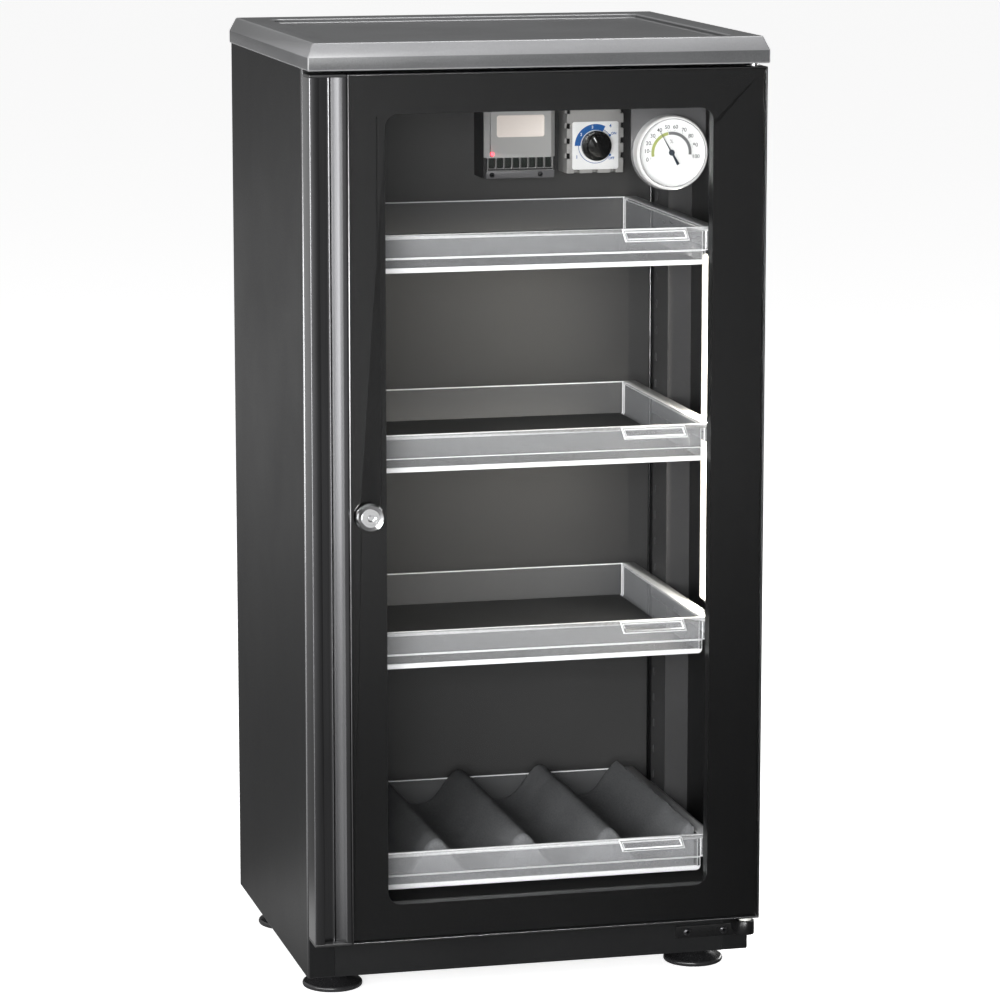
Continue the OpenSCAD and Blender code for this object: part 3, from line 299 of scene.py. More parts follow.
# Pieces lit from inside: the lamps' pitch shows as soft bands up the piece
glows = {
    "lightBar": {"color": (1.0, 0.95, 0.84), "strength": 5.0, "dim": 0.75, "pitch": 0.0125, "rearShare": 0.08},
    "redLamp": {"color": (1.0, 0.05, 0.07), "strength": 6.0, "dim": 0.8, "pitch": 0.002},
}
halfWaves = 20 / math.pi  # in a metre of a wave texture at scale 1
glowBase = 0.9  # share of the light's colour that the unlit plastic has


def makeGlow(name, fade=None):
    look = glows[name]
    material, tree, shader, place = newMaterial(name)
    shader.inputs["Base Color"].default_value = (*[glowBase * part for part in look["color"]], 1)
    shader.inputs["Emission Color"].default_value = (*look["color"], 1)
    wave = addNode(tree, "ShaderNodeTexWave", {"Vector": place, "Scale": 1 / look["pitch"] / halfWaves},
                   bands_direction="Z")
    power = rescale(tree, wave.outputs["Fac"], (0, 1), (look["strength"] * look["dim"], look["strength"]))
    if fade:
        depth = addNode(tree, "ShaderNodeSeparateXYZ", {"Vector": place}).outputs["Y"]
        fall = rescale(tree, depth, fade, (1.0, look["rearShare"]), interpolation_type="SMOOTHSTEP")
        power = calculate(tree, "MULTIPLY", power, fall)
    setInput(tree, shader, "Emission Strength", power)
    return material


# Which finish each piece of the model takes
nodeFinishes = {
    "bodyCoat": ["left_side_panel", "right_side_panel", "kick_panel", "header_panel", "base_plate"],
    "innerCoat": ["back_panel", "ceiling_panel", "floor_panel"],
    "footGloss": ["feet"],
    "uprightCoat": ["front_left_upright", "front_right_upright", "rear_left_upright", "rear_right_upright"],
    "railZinc": ["left_tray_rails", "right_tray_rails"],
    "lightAluminium": ["light_housing"],
    "drierBlackAndGrilleShade": ["drier_base", "rear_vent_cover"],
    "drierGrey": ["drier_grille"],
    "bushNylon": ["desiccant_cartridge", "hinge_bushes"],
    "boardGreenPaintedShade": ["drier_circuit_board"],
    "sealRubber": ["cord_gland", "door_seal"],
    "plainSteel": ["thermostat", "upper_hinge_bracket", "hinge_pins", "strike_plate", "lock_cam"],
    "bracketCoat": ["hygrometer_bracket"],
    "bezelSilver": ["hygrometer_case"],
    "cardWhite": ["hygrometer_dial"],
    "doorCoat": ["door_frame", "door_inner_pan"],
    "borderPrint": ["glass_border"],
    "needleLacquer": ["hygrometer_needle"],
    "lockChrome": ["lock_barrel", "lock_plug"],
}


def paint(piece, material):
    piece.data.materials.clear()
    piece.data.materials.append(material)


for finishName, nodeNames in nodeFinishes.items():
    for nodeName in nodeNames:
        paint(frame["nodes"][nodeName], makeFinish(finishName))
paint(frame["nodes"]["door_glass"], makeClear("doorGlass"))
paint(frame["nodes"]["hygrometer_glass"], makeClear("dialGlass"))
paint(frame["nodes"]["indicator_lamp"], makeGlow("redLamp"))
print("model's own pieces finished")


# Mesh helpers


def addPiece(name, shape, body, slotName, *materials):
    mesh = bpy.data.meshes.new(name)
    for material in materials:
        mesh.materials.append(material)
    shape.to_mesh(mesh)
    shape.free()
    piece = bpy.data.objects.new(name, mesh)
    bpy.context.scene.collection.objects.link(piece)
    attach(piece, body)
    return piece


# A piece in the place of one of the model's nodes, on its body
def standFor(nodeName, name, shape, *materials):
    piece = addPiece(name, shape, frame["nodes"][nodeName]["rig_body"], slotOfNode[nodeName], *materials)
    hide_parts(nodeName)
    return piece


def smooth(piece, degrees):
    for face in piece.data.polygons:
        face.use_smooth = True
    piece.data.set_sharp_from_angle(angle=math.radians(degrees))


def skinRings(shape, rings, caps=()):
    for near, far in zip(rings, rings[1:]):
        for i in range(len(near)):
            j = (i + 1) % len(near)
            shape.faces.new((near[i], near[j], far[j], far[i]))
    for ring in caps:
        shape.faces.new(ring)
    bmesh.ops.recalc_face_normals(shape, faces=shape.faces)


def roundedOutline(width, height, radius, steps=8):
    points = []
    for cornerX, cornerZ, start in ((1, 1, 0), (-1, 1, 90), (-1, -1, 180), (1, -1, 270)):
        for i in range(steps + 1):
            angle = math.radians(start + 90 * i / steps)
            points.append((cornerX * (width / 2 - radius) + radius * math.cos(angle),
                           cornerZ * (height / 2 - radius) + radius * math.sin(angle)))
    return points


# Pieces whose edges show a radius: its width, and the finish of the piece and of its edges; on the side panels, door
# frame and feet the edge finish is a painted highlight
softEdges = {
    "top_lid": {"name": "topLid", "width": 0.0012, "finishes": ["lidGrain", "lidSmoothWithPaintedHighlight"]},
    "handle_end_caps": {"name": "gripCaps", "width": 0.0006, "finishes": ["capPlastic"]},
    "left_side_panel": {"name": "leftSide", "width": 0.0014, "sheetShare": 0.4,
                        "finishes": ["bodyCoat", "paintedEdgeHighlight"]},
    "right_side_panel": {"name": "rightSide", "width": 0.0014, "sheetShare": 0.4,
                         "finishes": ["bodyCoat", "paintedEdgeHighlight"]},
    "door_frame": {"name": "doorBorder", "width": 0.0006, "finishes": ["doorCoat", "paintedEdgeHighlight"], "asCut": True},
    "feet": {"name": "rubberFeet", "width": 0.0006, "finishes": ["footGloss", "paintedEdgeHighlight"]},
    # Painted shade: the grey grille's flat faces take the black finish, only its bevelled edges stay grey
    "drier_grille": {"name": "drierGrillePaintedShade", "width": 0.0004, "finishes": ["drierBlackAndGrilleShade", "drierGrey"]},
    "drier_cover": {"name": "drierFront", "width": 0.0006, "finishes": ["drierGrey"]},
    "drier_sill": {"name": "drierLowerRail", "width": 0.0005, "finishes": ["sillCoat"]},
    "control_box": {"name": "controlHousing", "width": 0.0005, "finishes": ["controlGrey"]},
    "dial_plate": {"name": "dialCard", "width": 0.0003, "finishes": ["plateWhite"]},
    "control_knob": {"name": "knob", "width": 0.0005, "finishes": ["knobPlastic"]},
    "lower_hinge_bracket": {"name": "hingeBracket", "width": 0.0004, "finishes": ["hingeCoat"]},
}
edgeWork = {
    "weld": 0.000002, "flat": math.radians(0.6), "sharp": math.radians(38), "segments": 2,
    "outside": 0.0002, "shortest": 0.01,  # what counts as an outer corner of a folded sheet
}


# The outer corners bend wide, every other edge stays within the thin sheet
def weighEdges(shape, share):
    weights = shape.edges.layers.float.new("bevel_weight_edge")
    shape.normal_update()
    outside = max(abs(vert.co.x) for vert in shape.verts) - edgeWork["outside"]
    for edge in shape.edges:
        if edge.calc_face_angle(0) < edgeWork["sharp"]:
            continue
        first, second = (vert.co for vert in edge.verts)
        isUpright = abs(first.z - second.z) > edgeWork["shortest"]
        edge[weights] = 1.0 if isUpright and min(abs(first.x), abs(second.x)) > outside else share


def softened(nodeName, plan, materials, partOf=None, cuts=()):
    shape = bmesh.new()
    shape.from_mesh(frame["nodes"][nodeName].data)
    bmesh.ops.remove_doubles(shape, verts=shape.verts, dist=edgeWork["weld"])
    if not plan.get("asCut"):
        bmesh.ops.dissolve_limit(shape, angle_limit=edgeWork["flat"], verts=shape.verts, edges=shape.edges)
    for z in cuts:
        bmesh.ops.bisect_plane(shape, geom=shape.verts[:] + shape.edges[:] + shape.faces[:],
                               plane_co=(0, 0, z), plane_no=(0, 0, 1))
    for face in shape.faces:
        face.material_index = partOf(face) if partOf else 0
    if "sheetShare" in plan:
        weighEdges(shape, plan["sheetShare"])
    piece = standFor(nodeName, plan["name"], shape, *materials)
    for face in piece.data.polygons:
        face.use_smooth = True
    bevel = piece.modifiers.new("edges", "BEVEL")
    bevel.width = plan["width"]
    bevel.segments = edgeWork["segments"]
    bevel.limit_method = "WEIGHT" if "sheetShare" in plan else "ANGLE"
    bevel.angle_limit = edgeWork["sharp"]
    bevel.use_clamp_overlap = False
    bevel.harden_normals = True
    # The bevels take the last finish, which on several pieces is a painted highlight
    bevel.material = len(materials) - 1


# Faces of a piece that take its second finish, told by how they lean: the corner bends of the side panels and door
# frame take the painted highlight, the lid's upward chamfer its lighter smooth finish
bendLean = {"across": 0.12, "level": 0.1}
chamferLean = (0.15, 0.97)


def bendWithPaintedHighlight(face):
    lean = face.normal
    return 1 if min(abs(lean.x), abs(lean.y)) > bendLean["across"] and abs(lean.z) < bendLean["level"] else 0


def lidChamfer(face):
    return 1 if chamferLean[0] < face.normal.z < chamferLean[1] else 0


partTests = {"top_lid": lidChamfer, "left_side_panel": bendWithPaintedHighlight, "right_side_panel": bendWithPaintedHighlight,
             "door_frame": bendWithPaintedHighlight}

for nodeName, plan in softEdges.items():
    softened(nodeName, plan, [makeFinish(name) for name in plan["finishes"]], partTests.get(nodeName))
print("edges softened on", len(softEdges), "pieces")


# Trays: clear walls, frosted front, and a painted highlight along the top, rim and foot edges

trayPlan = {"width": 0.0009, "frontDepth": 0.0045, "panelHeight": 0.0205, "topSkin": 0.0015, "topLean": 0.9,
            "rimHeight": 0.004, "footHeight": 0.0042}
trayParts = ("trayClear", "trayFront", "traySkirt", "trayRimPaintedHighlight", "trayEdgePaintedHighlight")


def dressTray(number, plan):
    low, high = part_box("tray_%d" % number)
    rim, foot = high.z - plan["rimHeight"], low.z + plan["footHeight"]

    def partOf(face):
        centre = face.calc_center_median()
        if face.normal.z > plan["topLean"] and centre.z > high.z - plan["topSkin"]:
            name = "trayEdgePaintedHighlight"
        elif centre.y > low.y + plan["frontDepth"]:
            name = "trayClear"
        elif centre.z < foot:
            name = "trayEdgePaintedHighlight"
        elif centre.z > rim:
            name = "trayRimPaintedHighlight"
        else:
            name = "trayFront" if centre.z > high.z - plan["panelHeight"] else "traySkirt"
        return trayParts.index(name)

    softened("tray_%d" % number, {"name": "clearTray%d" % number, "width": plan["width"]},
             [makeClear(name) for name in trayParts], partOf, (rim, foot))


for number in (1, 2, 3, 4):
    dressTray(number, trayPlan)
print("trays made clear")


# Foam in the trays

foamMat = {"step": 0.004, "rise": 0.0004, "patch": 0.006, "round": 0.0015, "drop": 0.0008}
foamCradle = {"step": 0.0025, "round": 0.004, "drop": 0.003, "waves": 4, "trough": 0.009, "spare": 0.002,
              "sharpness": 1.6, "ripple": 0.0011, "rippleSize": 0.022, "rippleLayer": 0.3,
              "pores": 0.0004, "poreSize": 0.004, "poreLayer": 0.7}
foamSharp = 50


def foamSheet(name, nodeName, finishName, heightAt, step):
    low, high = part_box(nodeName)
    columns = max(2, round((high.x - low.x) / step))
    rows = max(2, round((high.y - low.y) / step))
    shape = bmesh.new()
    top, base = [], []
    for j in range(rows + 1):
        y = low.y + (high.y - low.y) * j / rows
        line, foot = [], []
        for i in range(columns + 1):
            x = low.x + (high.x - low.x) * i / columns
            line.append(shape.verts.new((x, y, heightAt(x, y, low, high))))
            foot.append(shape.verts.new((x, y, low.z)))
        top.append(line)
        base.append(foot)
    for j in range(rows):
        for i in range(columns):
            shape.faces.new((top[j][i], top[j][i + 1], top[j + 1][i + 1], top[j + 1][i]))
            shape.faces.new((base[j][i], base[j + 1][i], base[j + 1][i + 1], base[j][i + 1]))
    for i in range(columns):
        shape.faces.new((base[0][i], base[0][i + 1], top[0][i + 1], top[0][i]))
        shape.faces.new((base[rows][i + 1], base[rows][i], top[rows][i], top[rows][i + 1]))
    for j in range(rows):
        shape.faces.new((base[j + 1][0], base[j][0], top[j][0], top[j + 1][0]))
        shape.faces.new((base[j][columns], base[j + 1][columns], top[j + 1][columns], top[j][columns]))
    piece = standFor(nodeName, name, shape, makeFinish(finishName))
    smooth(piece, foamSharp)


# How far the surface falls near its rim, from 0 inside to 1 at the very edge
def edgeFall(x, y, low, high, reach):
    inside = min(x - low.x, high.x - x, y - low.y, high.y - y)
    left = max(0, 1 - inside / reach)
    return 1 - math.sqrt(max(0, 1 - left * left))


def matHeight(x, y, low, high):
    grain = noise.noise(Vector((x, y, 0)) / foamMat["patch"]) * foamMat["rise"]
    return high.z - foamMat["rise"] + grain - edgeFall(x, y, low, high, foamMat["round"]) * foamMat["drop"]


def cradleHeight(x, y, low, high):
    plan = foamCradle
    across = (x - low.x) / (high.x - low.x) * plan["waves"]
    wave = ((1 + math.cos(2 * math.pi * across)) / 2) ** plan["sharpness"]
    ripple = noise.noise(Vector((x, y, plan["rippleLayer"])) / plan["rippleSize"]) * plan["ripple"]
    pores = noise.noise(Vector((x, y, plan["poreLayer"])) / plan["poreSize"]) * plan["pores"]
    height = plan["trough"] + (high.z - low.z - plan["trough"] - plan["spare"]) * wave + ripple + pores
    return low.z + height - edgeFall(x, y, low, high, plan["round"]) * plan["drop"]


for number in (1, 2, 3):
    foamSheet("foamMat%d" % number, "tray_%d_mat" % number, "matFoam", matHeight, foamMat["step"])
foamSheet("foamCradle", "lens_cradle", "cradleFoam", cradleHeight, foamCradle["step"])
print("foam laid in the trays")


# Printed scales: flat ink on a face that looks to the front, placed by degrees from the right

inkLift = 0.00006


def inkPoint(centre, degrees, radius, y):
    angle = math.radians(degrees)
    return (centre[0] + radius * math.cos(angle), y, centre[1] + radius * math.sin(angle))


def inkArc(shape, centre, y, band, start, end, steps=48):
    near, far = ([shape.verts.new(inkPoint(centre, start + (end - start) * i / steps, radius, y))
                  for i in range(steps + 1)] for radius in band)
    for i in range(steps):
        shape.faces.new((near[i], near[i + 1], far[i + 1], far[i]))


def inkDot(shape, centre, y, radius, steps=24):
    shape.faces.new([shape.verts.new(inkPoint(centre, 360 * i / steps, radius, y)) for i in range(steps)])


def inkText(shape, words, centre, y, size, bold=0):
    curve = bpy.data.curves.new("ink", "FONT")
    curve.body = words
    curve.size = size
    curve.offset = bold
    curve.align_x = "CENTER"
    curve.align_y = "CENTER"
    holder = bpy.data.objects.new("ink", curve)
    bpy.context.scene.collection.objects.link(holder)
    holder.location = (centre[0], y, centre[1])
    holder.rotation_euler = (math.radians(90), 0, 0)
    bpy.context.view_layer.update()
    letters = bpy.data.meshes.new_from_object(holder)
    letters.transform(holder.matrix_world)
    shape.from_mesh(letters)
    bpy.data.objects.remove(holder)
    bpy.data.meshes.remove(letters)


def printInk(name, shape, body, nodeName, finishName):
    bmesh.ops.recalc_face_normals(shape, faces=shape.faces)
    for face in shape.faces:
        if face.normal.y > 0:
            face.normal_flip()
    addPiece(name, shape, body, slotOfNode[nodeName], makeFinish(finishName))


def middleOf(low, high):
    return (low.x + high.x) / 2, (low.z + high.z) / 2


humidityScale = {
    "band": (0.0154, 0.0181), "bandOverrun": (4, 3), "numbers": 0.0223, "size": 0.0047, "bold": 0.00005,
    "bezelPaintedShadow": (0.0291, 0.0296), "longMark": (0.0187, 0.0199), "longHalf": 0.5,
    "shortMark": (0.0187, 0.0193), "shortHalf": 0.3, "shortStart": 4, "shortPitch": 9,
    "percentRise": 0.0095, "percentSize": 0.005,
    "angles": {"0": 195, "10": 176, "20": 158, "30": 139, "40": 119, "50": 100,
               "60": 81, "70": 60, "80": 39, "90": 16, "100": -10},
}


def printHumidityDial(plan):
    low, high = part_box("hygrometer_case")
    centre = middleOf(low, high)
    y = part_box("hygrometer_dial")[0].y - inkLift
    angles = plan["angles"]
    first, middle, last = angles["0"], angles["50"], angles["100"]
    green, grey, dark = bmesh.new(), bmesh.new(), bmesh.new()
    inkArc(green, centre, y, plan["band"], first - plan["bandOverrun"][0], middle)
    inkArc(grey, centre, y, plan["band"], middle - 1, last + plan["bandOverrun"][1])
    for words, degrees in angles.items():
        place = inkPoint(centre, degrees, plan["numbers"], y)
        inkText(dark, words, (place[0], place[2]), y, plan["size"], plan["bold"])
        inkArc(dark, centre, y - inkLift, plan["longMark"], degrees - plan["longHalf"], degrees + plan["longHalf"], 2)
    for degrees in range(last + plan["shortStart"], first, plan["shortPitch"]):
        inkArc(dark, centre, y - inkLift, plan["shortMark"], degrees - plan["shortHalf"],
               degrees + plan["shortHalf"], 2)
    inkText(grey, "%", (centre[0], centre[1] + plan["percentRise"]), y, plan["percentSize"])
    # Painted shadow: a grey ring at the bezel's inner edge where the gap to the face lies in shade
    inkArc(grey, centre, low.y - inkLift, plan["bezelPaintedShadow"], 0, 360, 96)
    printInk("scaleGreyAndBezelShadow", grey, "cabinet", "hygrometer_dial", "inkGrey")
    printInk("scaleGreen", green, "cabinet", "hygrometer_dial", "inkGreen")
    printInk("scaleDark", dark, "cabinet", "hygrometer_dial", "inkDark")


settingScale = {
    "band": (0.0143, 0.0198), "bandEnds": (180, 62), "line": (0.0160, 0.0165), "dots": (34, -33), "dotRadius": 0.0011,
    "bandNumbers": (("2", 143), ("3", 100)), "bandMiddle": 0.0171, "numberSize": 0.0036, "bold": 0.00009,
    "marks": (("1", -0.0178, -0.0104, 0.0045), ("4", 0.0141, 0.0178, 0.0045), ("ON", 0.0174, 0.0108, 0.0031),
              ("OFF", 0.0152, -0.012, 0.0032)),  # across and up from the centre, and size
}


def printSettingDial(plan):
    low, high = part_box("dial_plate")
    centre = middleOf(low, high)
    y = low.y - inkLift
    start, end = plan["bandEnds"]
    blue, white = bmesh.new(), bmesh.new()
    inkArc(blue, centre, y, plan["band"], start, end)
    inkArc(blue, centre, y, plan["line"], start, 360 + plan["dots"][1], 72)
    inkArc(blue, centre, y, plan["line"], end, plan["dots"][0], 12)
    for degrees in plan["dots"]:
        place = inkPoint(centre, degrees, plan["line"][1], y)
        inkDot(blue, (place[0], place[2]), y - inkLift, plan["dotRadius"])
    for words, degrees in plan["bandNumbers"]:
        place = inkPoint(centre, degrees, plan["bandMiddle"], y)
        inkText(white, words, (place[0], place[2]), y - inkLift, plan["numberSize"], plan["bold"])
    for words, across, up, size in plan["marks"]:
        inkText(blue, words, (centre[0] + across, centre[1] + up), y, size, plan["bold"])
    printInk("settingBlue", blue, "cabinet", "dial_plate", "inkBlue")
    printInk("settingWhite", white, "cabinet", "dial_plate", "inkWhite")


pointerMark = {"band": (0.0045, 0.0096), "middle": 120, "half": 4}


def printKnobPointer(plan):
    low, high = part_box("control_knob")
    pointer = bmesh.new()
    inkArc(pointer, middleOf(low, high), low.y - inkLift, plan["band"],
           plan["middle"] - plan["half"], plan["middle"] + plan["half"], 4)
    printInk("knobPointer", pointer, "knob", "control_knob", "inkWhite")


printHumidityDial(humidityScale)
printSettingDial(settingScale)
printKnobPointer(pointerMark)
print("scales printed")


# Grip: one section drawn along the door, its hollow rising gently to the right so that it shows the light

doorGrip = {
    "round": 0.0011, "lip": 0.0086, "lipBack": 0.0026, "nose": 0.0006, "noseShare": 0.3,
    "hollow": ((0.0037, 0.0048), (0.0034, 0.0064), (0.0046, 0.0075), (0.0075, 0.0079), (0.011, 0.0083),
               (0.0146, 0.0087), (0.0172, 0.009), (0.0186, 0.0088), (0.0196, 0.0079),
               (0.0211, 0.0068), (0.0227, 0.0055), (0.0243, 0.0041), (0.0259, 0.0026), (0.0274, 0.001),
               (0.0282, 0.0001)),  # from the left side, and behind the face
    "smoothing": 4, "turns": (0, 18, 36, 54, 72, 90), "sharp": 32,
}


def curveThrough(points, steps):
    out = []
    for i in range(len(points) - 1):
        before, a = points[max(0, i - 1)], points[i]
        b, after = points[i + 1], points[min(len(points) - 1, i + 2)]
        for j in range(steps):
            t = j / steps
            out.append(tuple(
                0.5 * (2 * a[k] + (b[k] - before[k]) * t + (2 * before[k] - 5 * a[k] + 4 * b[k] - after[k]) * t * t
                       + (3 * a[k] - before[k] - 3 * b[k] + after[k]) * t ** 3) for k in (0, 1)))
    out.append(points[-1])
    return out


def addGrip(plan):
    low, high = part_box("door_handle")
    width, depth, r = high.x - low.x, high.y - low.y, plan["round"]
    lip, back, nose = plan["lip"], plan["lipBack"], plan["nose"]
    slope = nose * plan["noseShare"]
    turns = [math.radians(degrees) for degrees in plan["turns"]]
    section = [(r - r * math.cos(turn), r - r * math.sin(turn)) for turn in turns]
    section += [(lip - nose, 0), (lip - slope, slope), (lip, nose), (lip, back - nose), (lip - nose, back)]
    section += curveThrough(plan["hollow"], plan["smoothing"])
    section += [(width - r + r * math.sin(turn), r - r * math.cos(turn)) for turn in turns]
    section += [(width, depth), (0, depth)]
    shape = bmesh.new()
    rings = [[shape.verts.new((low.x + x, low.y + y, z)) for x, y in section] for z in (low.z, high.z)]
    skinRings(shape, rings, rings)
    bmesh.ops.triangulate(shape, faces=[face for face in shape.faces if len(face.verts) > 4])
    piece = standFor("door_handle", "doorGrip", shape, makeFinish("gripAnodised"))
    smooth(piece, plan["sharp"])


addGrip(doorGrip)
print("grip drawn")


# Blank cream plate on the drying unit

blankPlate = {"width": 0.045, "height": 0.02, "thickness": 0.0008, "round": 0.0024, "below": 0.042, "sharp": 30,
              "steps": ((0, 0), (0, 0.7), (0.0004, 1), (0.0012, 1), (0.0016, 0.72))}  # inset, share of thickness


def addBlankPlate(plan):
    low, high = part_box("drier_cover")
    centreX, centreZ = (low.x + high.x) / 2, high.z - plan["below"] - plan["height"] / 2
    shape = bmesh.new()
    rings = []
    for inset, proud in plan["steps"]:
        outline = roundedOutline(plan["width"] - 2 * inset, plan["height"] - 2 * inset, plan["round"] - inset)
        y = low.y - proud * plan["thickness"]
        rings.append([shape.verts.new((centreX + x, y, centreZ + z)) for x, z in outline])
    skinRings(shape, rings, rings[-1:])
    piece = addPiece("blankPlate", shape, "cabinet", slotOfNode["drier_cover"], makeFinish("plateCream"))
    smooth(piece, plan["sharp"])


# Lens of the light bar, rounded at its edges and dim towards the rear

lightLens = {"left": 0.0011, "front": 0.0008, "rear": 0.014, "round": 0.0026, "rim": 0.0012,
             "fadeFrom": 0.005, "sharp": 40}


def addLightLens(plan):
    low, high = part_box("light_diffuser")
    width, depth = high.x - low.x + plan["left"], high.y - low.y + plan["front"] + plan["rear"]
    centreX, centreY, rim = high.x - width / 2, low.y - plan["front"] + depth / 2, plan["rim"]
    shape = bmesh.new()
    rings = []
    for inset, z in ((rim, low.z), (0, low.z + rim), (0, high.z - rim), (rim, high.z)):
        outline = roundedOutline(width - 2 * inset, depth - 2 * inset, plan["round"] - inset / 2)
        rings.append([shape.verts.new((centreX + x, centreY + y, z)) for x, y in outline])
    skinRings(shape, rings, (rings[0], rings[-1]))
    glow = makeGlow("lightBar", (high.y - plan["fadeFrom"], high.y + plan["rear"]))
    smooth(standFor("light_diffuser", "lightLens", shape, glow), plan["sharp"])


addBlankPlate(blankPlate)
addLightLens(lightLens)


# Screws with a domed head and a cross recess, where the model has its screws

screwHead = {
    "least": 0.0015, "height": 0.0014, "steps": 32, "cross": 0.34, "armReach": 1.5, "hollowReach": 0.75, "sharp": 40,
    "profile": ((0.001, 0.42), (0.34, 0.42), (0.34, 0.0), (0.6, 0.12), (0.86, 0.45), (1.0, 1.0)),
}


def separateBoxes(shape):
    boxes, seen = [], set()
    for vert in shape.verts:
        stack, island = [vert], []
        while stack:
            item = stack.pop()
            if item not in seen:
                seen.add(item)
                island.append(item.co.copy())
                stack.extend(edge.other_vert(item) for edge in item.link_edges)
        if island:
            boxes.append((Vector(map(min, zip(*island))), Vector(map(max, zip(*island)))))
    return boxes


def addScrewHead(shape, centre, front, radius, plan):
    steps = plan["steps"]
    rings = []
    for share, drop in plan["profile"]:
        ring = []
        for i in range(steps):
            angle = 2 * math.pi * i / steps
            reach = share * radius
            if share <= plan["cross"]:
                reach *= plan["armReach"] if 0 < (i + 2) % 8 < 5 else plan["hollowReach"]
            ring.append(shape.verts.new((centre[0] + reach * math.cos(angle), front + drop * plan["height"],
                                         centre[1] + reach * math.sin(angle))))
        rings.append(ring)
    skinRings(shape, rings, rings[:1])


def addScrews(plan):
    source, heads = bmesh.new(), bmesh.new()
    source.from_mesh(frame["nodes"]["bracket_screws"].data)
    for low, high in separateBoxes(source):
        radius = (high.x - low.x) / 2
        if radius >= plan["least"]:
            addScrewHead(heads, middleOf(low, high), low.y, radius, plan)
    source.free()
    smooth(standFor("bracket_screws", "screwHeads", heads, makeFinish("screwZinc")), plan["sharp"])


addScrews(screwHead)
print("plate and screws added")


# Floor and world: white to the camera; where a glossy face shows them, they carry a painted reflection, with painted
# shade and a painted highlight

studio = {
    "floorSize": 30, "floorDrop": 0.0002, "floorColor": 0.8, "floorRough": 0.9, "floorShine": 0.1, "floorWhite": 0.75,
    "away": 0.5,  # a floor point's bearing is taken from this far behind the middle
    # The floor's reflection carries painted shade towards the right, close to the cabinet and behind it, and a
    # painted highlight on the left
    "toneFrom": (0.02, 0.42), "rightPaintedShade": 0.22,  # darker towards the right
    "nearFrom": (0.6, 3.6), "nearPaintedShade": 0.2,  # darker close to the cabinet
    "rearFrom": (0.2, 1.8), "rearPaintedShade": 0.62,  # darker behind it
    # Painted highlight in the floor's reflection, not light from the low lamp
    "leftFrom": (-0.25, -0.9), "frontFrom": (0.3, -0.2), "leftPaintedHighlight": 1.9,  # bright under the low lamp
    "skyFrom": (0.1, 0.95), "skyWhite": 1.0, "skyPaintedShade": 0.15, "skyHighlightAim": (-0.5, 0.0, 0.87), "skyFill": 0.22,
}


# What the camera sees directly or through glass, and what a glossy face sees
def lightPaths(tree):
    path = addNode(tree, "ShaderNodeLightPath").outputs
    seen = calculate(tree, "ADD", path["Is Camera Ray"], path["Is Transmission Ray"], use_clamp=True)
    return seen, path["Is Glossy Ray"]


# Painted reflection: the tone a glossy face sees on the floor, set by place rather than by the lamps
def paintedFloorReflection(tree, place, plan):
    split = addNode(tree, "ShaderNodeSeparateXYZ", {"Vector": place}).outputs
    ahead = calculate(tree, "SUBTRACT", plan["away"], split["Y"])
    bearing = calculate(tree, "DIVIDE", split["X"], calculate(tree, "MAXIMUM", ahead, plan["away"] / 2))
    reach = addNode(tree, "ShaderNodeVectorMath", {0: place}, operation="LENGTH").outputs["Value"]
    soft = {"interpolation_type": "SMOOTHSTEP"}
    side = rescale(tree, bearing, plan["toneFrom"], (1.0, plan["rightPaintedShade"]), **soft)
    near = rescale(tree, reach, plan["nearFrom"], (plan["nearPaintedShade"], 1.0), **soft)
    rear = rescale(tree, split["Y"], plan["rearFrom"], (1.0, plan["rearPaintedShade"]))
    tone = calculate(tree, "MULTIPLY", calculate(tree, "MULTIPLY", side, near), rear)
    left = rescale(tree, bearing, plan["leftFrom"], (0, 1), **soft)
    front = rescale(tree, split["Y"], plan["frontFrom"], (0, 1), **soft)
    return blendValues(tree, calculate(tree, "MULTIPLY", left, front), tone, plan["leftPaintedHighlight"])


def addFloor(plan):
    half = plan["floorSize"] / 2
    shape = bmesh.new()
    corners = ((-half, -half), (half, -half), (half, half), (-half, half))
    shape.faces.new([shape.verts.new((x, y, -plan["floorDrop"])) for x, y in corners])
    mesh = bpy.data.meshes.new("floor")
    shape.to_mesh(mesh)
    shape.free()
    floor = bpy.data.objects.new("floor", mesh)
    bpy.context.scene.collection.objects.link(floor)
    material, tree, shader, place = newMaterial("paleFloorPaintedReflection")
    shader.inputs["Roughness"].default_value = plan["floorRough"]
    shader.inputs["Specular IOR Level"].default_value = plan["floorShine"]
    shader.inputs["Emission Color"].default_value = (1, 1, 1, 1)
    direct, glossy = lightPaths(tree)
    plain = calculate(tree, "MULTIPLY", direct, plan["floorWhite"])
    # Glossy faces see only this painted reflection, not the lit floor
    power = blendValues(tree, glossy, plain, paintedFloorReflection(tree, place, plan))
    setInput(tree, shader, "Base Color", blendValues(tree, glossy, plan["floorColor"], 0.0))
    setInput(tree, shader, "Emission Strength", power)
    floor.data.materials.append(material)


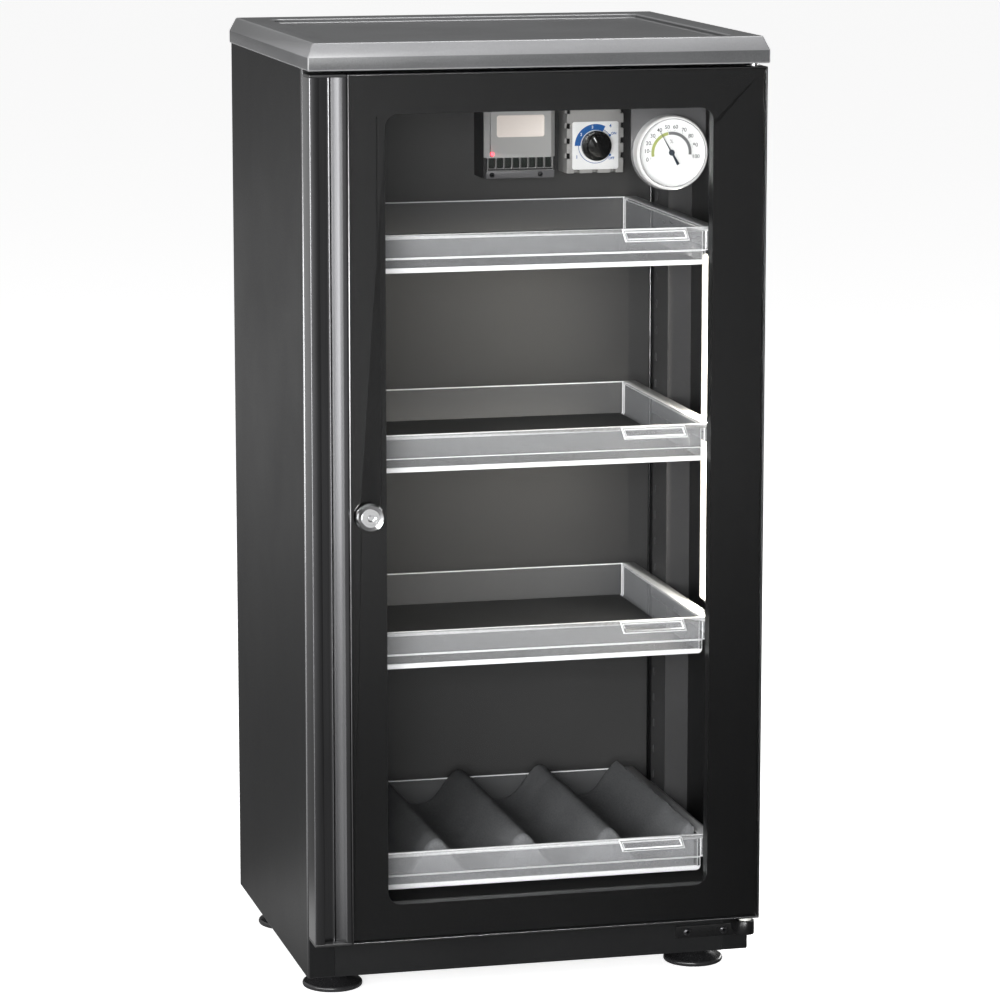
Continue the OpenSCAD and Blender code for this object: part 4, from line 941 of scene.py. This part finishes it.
def lightWorld(plan):
    world = bpy.data.worlds.new("studio")
    bpy.context.scene.world = world
    world.use_nodes = True
    tree = world.node_tree
    back = tree.nodes["Background"]
    back.inputs["Color"].default_value = (1, 1, 1, 1)
    # Glossy faces see a painted reflection of the world: a painted highlight towards the upper left and painted shade
    # elsewhere; other rays see an even fill
    direct, glossy = lightPaths(tree)
    bearing = addNode(tree, "ShaderNodeTexCoord").outputs["Generated"]
    aim = addNode(tree, "ShaderNodeVectorMath", {0: bearing, 1: plan["skyHighlightAim"]}, operation="DOT_PRODUCT")
    sky = rescale(tree, aim.outputs["Value"], plan["skyFrom"], (plan["skyPaintedShade"], plan["skyWhite"]),
                  interpolation_type="SMOOTHSTEP")
    fill = blendValues(tree, glossy, plan["skyFill"], sky)
    setInput(tree, back, "Strength", blendValues(tree, direct, fill, plan["skyWhite"]))


# Soft lamps, and the cabinet's own light along its lens

lamps = {
    "lowLeft": {"place": (-1.8, -1.3, 0.52), "aim": (-0.1, -0.1, 0.52), "size": (1.8, 0.98), "watts": 38},
    "keySoft": {"place": (-1.75, -3.1, 1.05), "aim": (0, 0, 0.5), "size": (0.8, 1.3), "watts": 58},
    "frontFill": {"place": (-1.05, -3.9, 0.95), "aim": (0, 0, 0.6), "size": (1.0, 1.0), "watts": 98},
    "rightRear": {"place": (2.0, 1.2, 0.55), "aim": (0.2, 0, 0.45), "size": (1.7, 0.9), "watts": 26},
    "overhead": {"place": (0.42, -0.5, 3.2), "aim": (0, 0, 0.5), "size": (0.7, 0.4), "watts": 56},
}
cabinetLight = {"inset": 0.0016, "width": 0.007, "watts": 1.5, "color": (1.0, 0.95, 0.85), "turn": 0.12}


def addLamp(name, plan):
    data = bpy.data.lights.new(name, "AREA")
    data.shape = "RECTANGLE"
    data.size, data.size_y = plan["size"]
    data.energy = plan["watts"]
    data.color = plan.get("color", (1, 1, 1))
    lamp = bpy.data.objects.new(name, data)
    lamp.location = plan["place"]
    lamp.rotation_euler = (Vector(plan["aim"]) - Vector(plan["place"])).to_track_quat("-Z", "Y").to_euler()
    lamp.visible_camera = False
    bpy.context.scene.collection.objects.link(lamp)


def addCabinetLight(plan):
    low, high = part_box("light_diffuser")
    middle = (low + high) / 2
    place = (low.x - plan["inset"], middle.y, middle.z)
    addLamp("cabinetLight", {
        "place": place, "aim": (place[0] - 1, place[1] + plan["turn"], place[2]),
        "size": (plan["width"], high.z - low.z), "watts": plan["watts"], "color": plan["color"]})


addCabinetLight(cabinetLight)
addFloor(studio)
lightWorld(studio)
for name, plan in lamps.items():
    addLamp(name, plan)
bpy.context.scene.view_settings.view_transform = "Standard"
print("studio lit")
